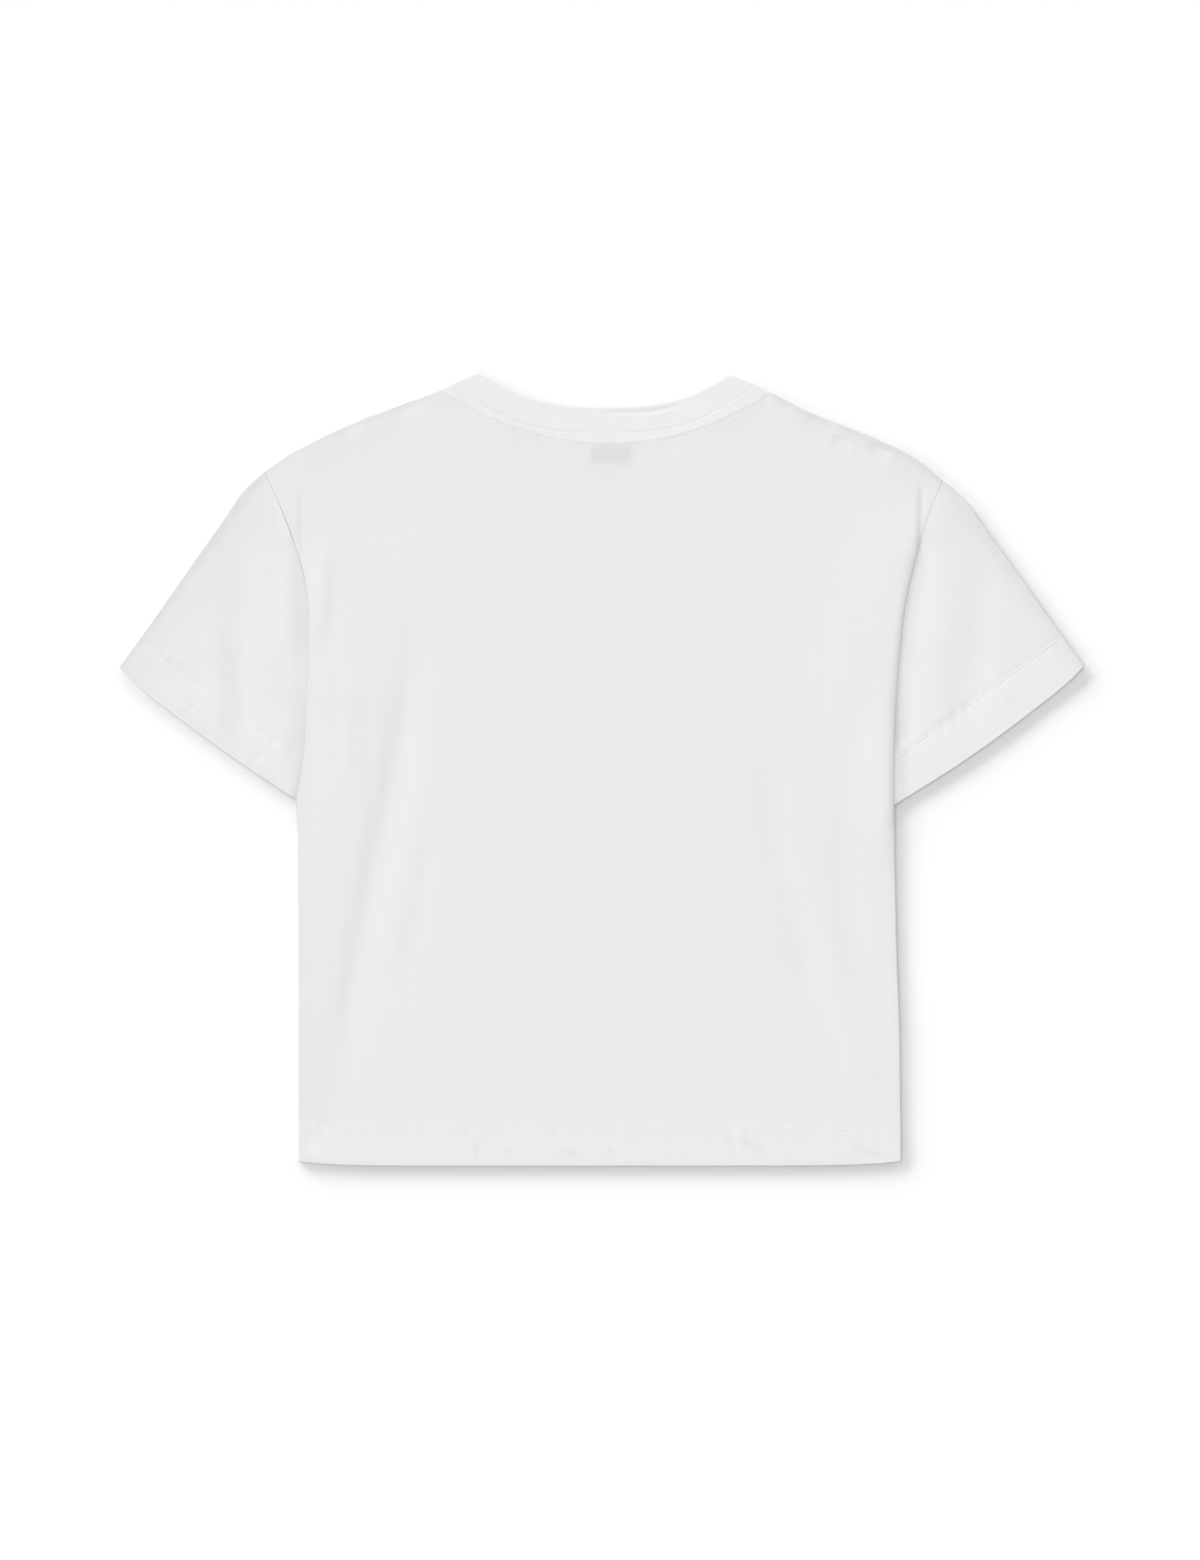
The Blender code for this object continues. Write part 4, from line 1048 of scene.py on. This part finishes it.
def sleeve_piece(side, material):
    """A flattened tube from the armhole to the cuff, its inner end between front and back."""
    low_corner = UNDERARM[side]
    along_cuff, inwards = cuff_axes(side)
    cuff_low = low_corner + along_cuff * UNDERARM_RISE
    seam_low = low_corner + (-SIDES[side] * TUCK, UNDERARM_SEAM)
    edge, cuff = side_edge(side), cuff_edge(side)
    top = bowed(SHOULDER_POINT[side], SLEEVE_TIP[side], SLEEVE_TOP_BOW, side)
    underarm = straight(seam_low, cuff_low)

    def armhole(share):
        """The sewn end, from the underarm up: tucked in below, a hair clear of the body above."""
        place = edge(mix(UNDERARM_SHARE, 1, share))
        tucked = ease((TUCK_TOP - TUCK_START - place[..., 1]) / TUCK_BLEND)
        place[..., 0] += SIDES[side] * mix(SEAM_GAP, -TUCK, tucked)
        near_low = ease(1 - share / UNDERARM_BLEND)[..., None]
        return mix(place, place - place[0] + seam_low, near_low)

    hidden = straight(cuff_low, low_corner)
    hem = joined(hidden, lambda share: cuff(1 - share), HIDDEN_STEPS[-1] / ARMHOLE_LENGTH)
    lengths = stations(SLEEVE_LENGTH, EDGE_STEPS, SLEEVE_LENGTHS, HEM_STEPS)
    widths = stations(ARMHOLE_LENGTH, HIDDEN_STEPS, SLEEVE_ROWS, EDGE_STEPS[:1] + EDGE_STEPS[5:])
    plan = np.swapaxes(patch(underarm, top, armhole, hem, lengths, widths), 0, 1)
    x, y = plan[..., 0], plan[..., 1]
    line = from_cuff_edge(side, plan) - CUFF_DEPTH[side]
    from_fold = np.minimum(widths, 1 - widths)[None] * ARMHOLE_LENGTH
    out = abs(x) - body_edge_x(side, y)
    tucked = over_sleeve(y)
    bottom = (CLOTH + FACE_GAP) * tucked * (1 - ease((out - TUCK_CLEAR) / (TUCK_FALL - TUCK_CLEAR)))
    clear = ease(out / TUCK_FALL)
    thick = mix(CLOTH, TURNED, turned_up(line) * clear)
    over = mix(SLEEVE_TOP, SLEEVE_FOLD_TOP, bell(from_fold / FOLD_SPRING))
    if side == "left":
        end = mix(SLEEVE_END_TOP[side], SLEEVE_TUCKED_TOP + loose(x, y), tucked)
        over = mix(over, end, np.exp(-np.maximum(out, 0) / LEFT_DIP))
    else:
        end = mix(SLEEVE_END_TOP[side], pressed_top(bottom, plan), tucked)
        over = mix(over, end, (1 - np.clip(out / RIGHT_FLAT, 0, 1)) ** 2)
    at_fold = ease(from_fold / FOLD_REACH)
    over += relief(SLEEVE_CREASES[side], x, y) * mix(1, clear, tucked) * at_fold
    over += SWELL * ripple(x, y, SWELL_LENGTH, 3) * ease(out / FOLD_SPRING) * at_fold
    over = np.maximum(over, bottom + 2 * thick + INSIDE_LEAST)
    along = plan @ along_cuff
    dent = stitched(line, along, HEM_GROOVE, 7) * ease(out / TUCK_FALL / 2) * ease(from_fold / STITCH_FADE)
    over += relief(CUFF_PUCKERS[side], x, y) * clear
    from_ends = np.stack((lengths, 1 - lengths)) * SLEEVE_LENGTH + END_LEAST
    wall = thick * quarter_round(from_ends / SHARP_EDGE).prod(axis=0)[:, None]
    over += dent - (thick - wall) / 2
    bottom += (thick - wall) / 2
    cloth = np.dstack((plan, along, plan @ inwards, line))
    folds = np.stack((plan[:, 0] - plan[:, 1], plan[:, -1] - plan[:, -2]), axis=1)
    folds /= np.linalg.norm(folds, axis=-1, keepdims=True)
    cloth[:, (0, -1), :2] -= folds * FOLD_BULGE
    rows = zip(cloth, cloth, folds, zip(wall + dent, wall), zip(over, bottom))
    points, faces = flat_tube(rows)
    if side == "right":
        faces = faces[:, ::-1]
    places = points[:, (0, 1, 5)]
    line = points[:, 4]
    below_fold = from_top_fold(side, places)
    # The tone paints light and shade into the colour: a painted highlight on the cuff's doubled cloth, and
    # painted shade below the top fold, along the fold and the cuff's edge, and on the right sleeve beside
    # the body.
    rim = EDGE_SHADE if side == "left" else SIDE_SHADE
    tone = 1 + CUFF_GLOW[side] * ease(-line / STEP_WIDTH) - shade(FOLD_SHADE, below_fold)
    tone -= shade(rim, below_fold) + shade(rim, line + CUFF_DEPTH[side])
    if side == "right":
        beside_body = abs(places[:, 0]) - body_edge_x(side, places[:, 1])
        below = 1 - ease((places[:, 1] - UNDERARM_SHADE_TOP) / UNDERARM_SHADE_FADE)
        tone -= shade(FAR_EDGE_SHADE, below_fold) + shade(UNDERARM_SHADE, beside_body) * below
    return add_piece(f"{side}_sleeve_cloth", places, faces, material, points[:, 2:4], line, tone)


def from_top_fold(side, places):
    """How far each place is from the fold along the top of a sleeve."""
    start = SHOULDER_POINT[side]
    return abs((places[:, :2] - start) @ axes(start, SLEEVE_TIP[side])[1])


def collar_piece(material):
    """A band of doubled rib round the neck: its back half on top, its front half below, with
    a fold at each side of the neck."""
    share = np.linspace(0, 1, 2 * NECK_COLUMNS + 1)
    fold, seam = back_neck(BACK_INNER)(share), back_neck(BACK_SEAM)(share)
    front_fold = front_neck(BACK_INNER, FRONT_INNER_MIDDLE)(share)
    front_seam = front_neck(BACK_SEAM, FRONT_SEAM_MIDDLE)(share)
    along, front_along = run_length(seam), run_length(front_seam)
    left, right = (seam - fold)[[0, -1]]
    ends = np.array(((left[1], -left[0]), (-right[1], right[0])))
    ends /= np.linalg.norm(ends, axis=-1, keepdims=True)
    rows = []
    for band in stations(BAND_WIDTH, EDGE_STEPS[:8], BAND_ROWS, EDGE_STEPS[:7]):
        upper = mix(fold, seam, band)
        from_fold = np.full(len(share), band * BAND_WIDTH)
        from_seam = BAND_WIDTH - from_fold
        thick = RIB * quarter_round((from_fold + COLLAR_LEAST) / COLLAR_ROUND)
        thick *= mix(COLLAR_SEAM, 1, ease((from_seam + COLLAR_LEAST) / ROUND_EDGE))
        shaved = (RIB - thick) / 2
        dent = relief(COLLAR_CREASES, upper[:, 0], upper[:, 1])
        rows.append((
            np.column_stack((upper, along, from_fold)),
            np.column_stack((mix(front_fold, front_seam, band), -front_along, from_fold)),
            ends,
            (thick + dent, thick + dent),
            (neck_top(upper[:, 0]) - COLLAR_DROP - shaved + dent, shaved),
        ))
    points, faces = flat_tube(rows)
    return add_piece("collar_rib", points[:, (0, 1, 4)], faces, material, points[:, 2:4])


def run_length(line):
    """How far along a line each of its places is."""
    steps = np.linalg.norm(np.diff(line, axis=0), axis=1)
    return np.concatenate(((0,), np.cumsum(steps)))


def strip(x, bottom, top):
    """Plan of a narrow piece between two lines."""
    share = stations(STRIP_LENGTH, STRIP_STEPS, STRIP_ROWS, STRIP_STEPS)[:, None]
    y = mix(bottom, top, share)
    return np.dstack((np.broadcast_to(x, y.shape), y))


def under_back(name, plan, thick, material):
    """A strip that lies against the underside of the back."""
    x, y = plan[..., 0], plan[..., 1]
    far = np.full(x.shape, LENGTH)
    from_top = neck_y(BACK_SEAM, x) - y
    over = back_top(x, y, far, from_top, far, np.ones(x.shape, bool))
    over -= CLOTH + FACE_GAP + SWELL + SEAM_GAP
    return shell_piece(name, plan, over - thick, over, np.minimum.reduce(from_border(plan)), material)


def tape_piece(material):
    """The strip inside the back that covers the collar's seam."""
    ends = TAPE_INSET - BACK_SEAM.left_x, BACK_SEAM.right_x - TAPE_INSET
    x = mix(*ends, stations(ends[1] - ends[0], STRIP_STEPS, TAPE_COLUMNS, STRIP_STEPS))
    top = neck_y(BACK_SEAM, x) - TAPE_CLEAR
    return under_back("neck_tape_strip", strip(x, neck_y(TAPE_EDGE, x), top), TAPE, material)


def label_piece(material):
    """A small blank label sewn on below the tape."""
    x = LABEL_X + LABEL_WIDTH * (stations(LABEL_WIDTH, STRIP_STEPS, LABEL_COLUMNS, STRIP_STEPS) - 0.5)
    top = np.full(len(x), neck_y(TAPE_EDGE, LABEL_X) - TAPE_CLEAR)
    return under_back("blank_label", strip(x, top - LABEL_DROP, top), LABEL, material)


# Stitches

def sew(name, piece, path, side, material):
    """A row of stitches along a path over a piece, on top (side 1) or underneath (-1)."""
    low, high = CAD_BOX
    origin_y = (low.y + high.y) / 2 / MM - LENGTH / 2
    along = run_length(path)
    turn = np.arange(STITCH_SIDES) * 2 * np.pi / STITCH_SIDES
    points = [vertex.co for vertex in piece.data.vertices]
    surface = BVHTree.FromPolygons(points, [tuple(face.vertices) for face in piece.data.polygons])
    places, weave = [], []
    for start in np.arange(FIRST_STITCH, along[-1] - STITCH, STITCH_PITCH):
        rings = []
        for share, rise, size in STITCH_RINGS:
            at = start + share * STITCH
            (x0, x, x1), (y0, y, y1) = (np.interp((at - LOOK, at, at + LOOK), along, c) for c in path.T)
            way = np.array((y0 - y1, x1 - x0)) * THREAD * size / np.hypot(x1 - x0, y1 - y0)
            eye = Vector((x * MM, (y + origin_y) * MM, side * EYE_HEIGHT))
            hit = surface.ray_cast(eye, Vector((0, 0, -side)))[0]
            if hit is None:
                break
            out = np.cos(turn)[:, None] * way
            z = hit.z / MM + side * (rise + THREAD * size * np.sin(turn))
            rings.append(np.column_stack((x + out[:, 0], y + out[:, 1], z)))
        if len(rings) == len(STITCH_RINGS):
            places += rings
            weave += [np.column_stack((turn, np.full(STITCH_SIDES, start)))] * len(rings)
    number = np.arange(len(places) * STITCH_SIDES).reshape(-1, len(STITCH_RINGS), STITCH_SIDES)
    number = np.concatenate((number, number[..., :1]), axis=-1)
    faces = [grid_faces(one) for one in number]
    faces += [number[:, row, corners] for row, corners in STITCH_CAPS]
    return add_piece(name, np.concatenate(places), np.concatenate(faces), material, np.concatenate(weave))


def hem_path():
    line = hem_edge(np.linspace(*HEM_ROW, OUTLINE_STEPS))
    line[:, 1] += HEM_DEPTH
    return line


def cuff_path(side):
    """The stitched line that runs beside a cuff, on its doubled cloth's edge."""
    line = cuff_edge(side)(ALONG)[CUFF_ROW]
    along, inwards = cuff_axes(side)
    tip = SLEEVE_TIP[side]
    return tip + np.outer((line - tip) @ along, along) + inwards * (CUFF_DEPTH[side] - CUFF_BOWS_OUT)


def neck_path():
    x = np.linspace(-TAPE_EDGE.left_x, TAPE_EDGE.right_x, OUTLINE_STEPS)[NECK_ROW]
    return np.column_stack((x, neck_y(TAPE_EDGE, x)))


# The set

def add_floor():
    bpy.ops.mesh.primitive_plane_add(size=FLOOR_SIZE, location=(0, 0, CAD_BOX[0].z - FLOOR_GAP))
    floor = bpy.context.object
    floor.name = "floor"
    grey = (FLOOR, FLOOR, FLOOR, 1)
    floor.data.materials.append(
        new_material("floor", Base_Color=grey, Roughness=1, Specular_IOR_Level=0)[0]
    )
    return floor


def add_lamp(name, settings, turn=0):
    """A soft lamp far away. Its share of the light is what falls on level cloth."""
    elevation = np.radians(settings.elevation)
    way = np.radians(LIGHT_FROM + turn)
    lamp = bpy.data.lights.new(name, "SUN")
    lamp.energy = settings.share * np.pi / np.sin(elevation)
    lamp.angle = np.radians(settings.width)
    made = bpy.data.objects.new(name, lamp)
    bpy.context.scene.collection.objects.link(made)
    flat = np.cos(elevation)
    towards = Vector((flat * np.cos(way), flat * np.sin(way), np.sin(elevation)))
    made.rotation_euler = towards.to_track_quat("Z", "Y").to_euler()
    return made


def add_light(floor):
    world = bpy.data.worlds.new("studio")
    bpy.context.scene.world = world
    world.use_nodes = True
    tree = world.node_tree
    background = tree.nodes["Background"]
    background.inputs["Color"].default_value = (1, 1, 1, 1)
    path = tree.nodes.new("ShaderNodeLightPath")
    shown = maths("MAXIMUM", path.outputs["Is Camera Ray"], path.outputs["Is Glossy Ray"])
    shown = maths("MAXIMUM", shown, path.outputs["Is Transmission Ray"])
    level = node("MapRange", shown, 0, 1, AMBIENT, 1)
    tree.links.new(level, background.inputs["Strength"])
    add_lamp("top_light", TOP_LIGHT)
    add_lamp("key_light", KEY_LIGHT)
    lit = bpy.data.collections.new("lit_by_shadow_light")
    lit.objects.link(floor)
    for kind, turn in (*((SHADOW_LIGHT, turn) for turn in SHADOW_TURNS), *HALO_LIGHTS):
        lamp = add_lamp("floor_light", kind, turn)
        lamp.light_linking.receiver_collection = lit


def add_camera():
    camera = bpy.data.objects.new("camera", bpy.data.cameras.new("camera"))
    bpy.context.scene.collection.objects.link(camera)
    camera.data.lens = CAMERA_LENS
    camera.location = sum(CAD_BOX, Vector()) / 2 + CAMERA_OFFSET
    bpy.context.scene.camera = camera


def main():
    add_camera()
    add_light(add_floor())
    jersey_back = cloth_material("jersey_back", WHITE, knit, KNIT_DEPTH, label=True)
    jersey = cloth_material("jersey", WHITE, knit, KNIT_DEPTH)
    rib = cloth_material("rib", RIB_WHITE, ribs, KNIT_DEPTH)
    tape_cloth = cloth_material("tape", WHITE, plain_weave, TAPE_DEPTH)
    label_cloth = cloth_material("label", LABEL_GREY, plain_weave, LABEL_DEPTH)
    thread = thread_material()

    back = back_piece(jersey_back)
    front = front_piece(jersey)
    sleeves = {side: sleeve_piece(side, jersey) for side in SIDES}
    collar = collar_piece(rib)
    tape = tape_piece(tape_cloth)
    label = label_piece(label_cloth)

    back_rows = [
        sew("back_hem_stitches", back, hem_path(), 1, thread),
        sew("neck_stitches", back, neck_path(), 1, thread),
    ]
    front_rows = [sew("front_hem_stitches", front, hem_path(), -1, thread)]
    sleeve_rows = {
        side: [
            sew(f"{side}_cuff_stitches", sleeve, cuff_path(side), 1, thread),
            sew(f"{side}_cuff_stitches_below", sleeve, cuff_path(side), -1, thread),
        ]
        for side, sleeve in sleeves.items()
    }

    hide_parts("back_panel")
    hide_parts("front_panel")
    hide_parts("collar")
    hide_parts("neck_tape")
    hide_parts("neck_label")
    for side, sleeve in sleeves.items():
        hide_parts(f"sleeve_{side}")

    slots = {"jersey": [back, front, *sleeves.values()], "rib": [collar], "tape": [tape], "label": [label]}
    rows = back_rows + front_rows + sleeve_rows["left"] + sleeve_rows["right"]
    for piece in (*slots["jersey"], collar, tape, label, *rows):
        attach(piece, "root")


main()
bpy.context.scene.view_settings.view_transform = "Standard"
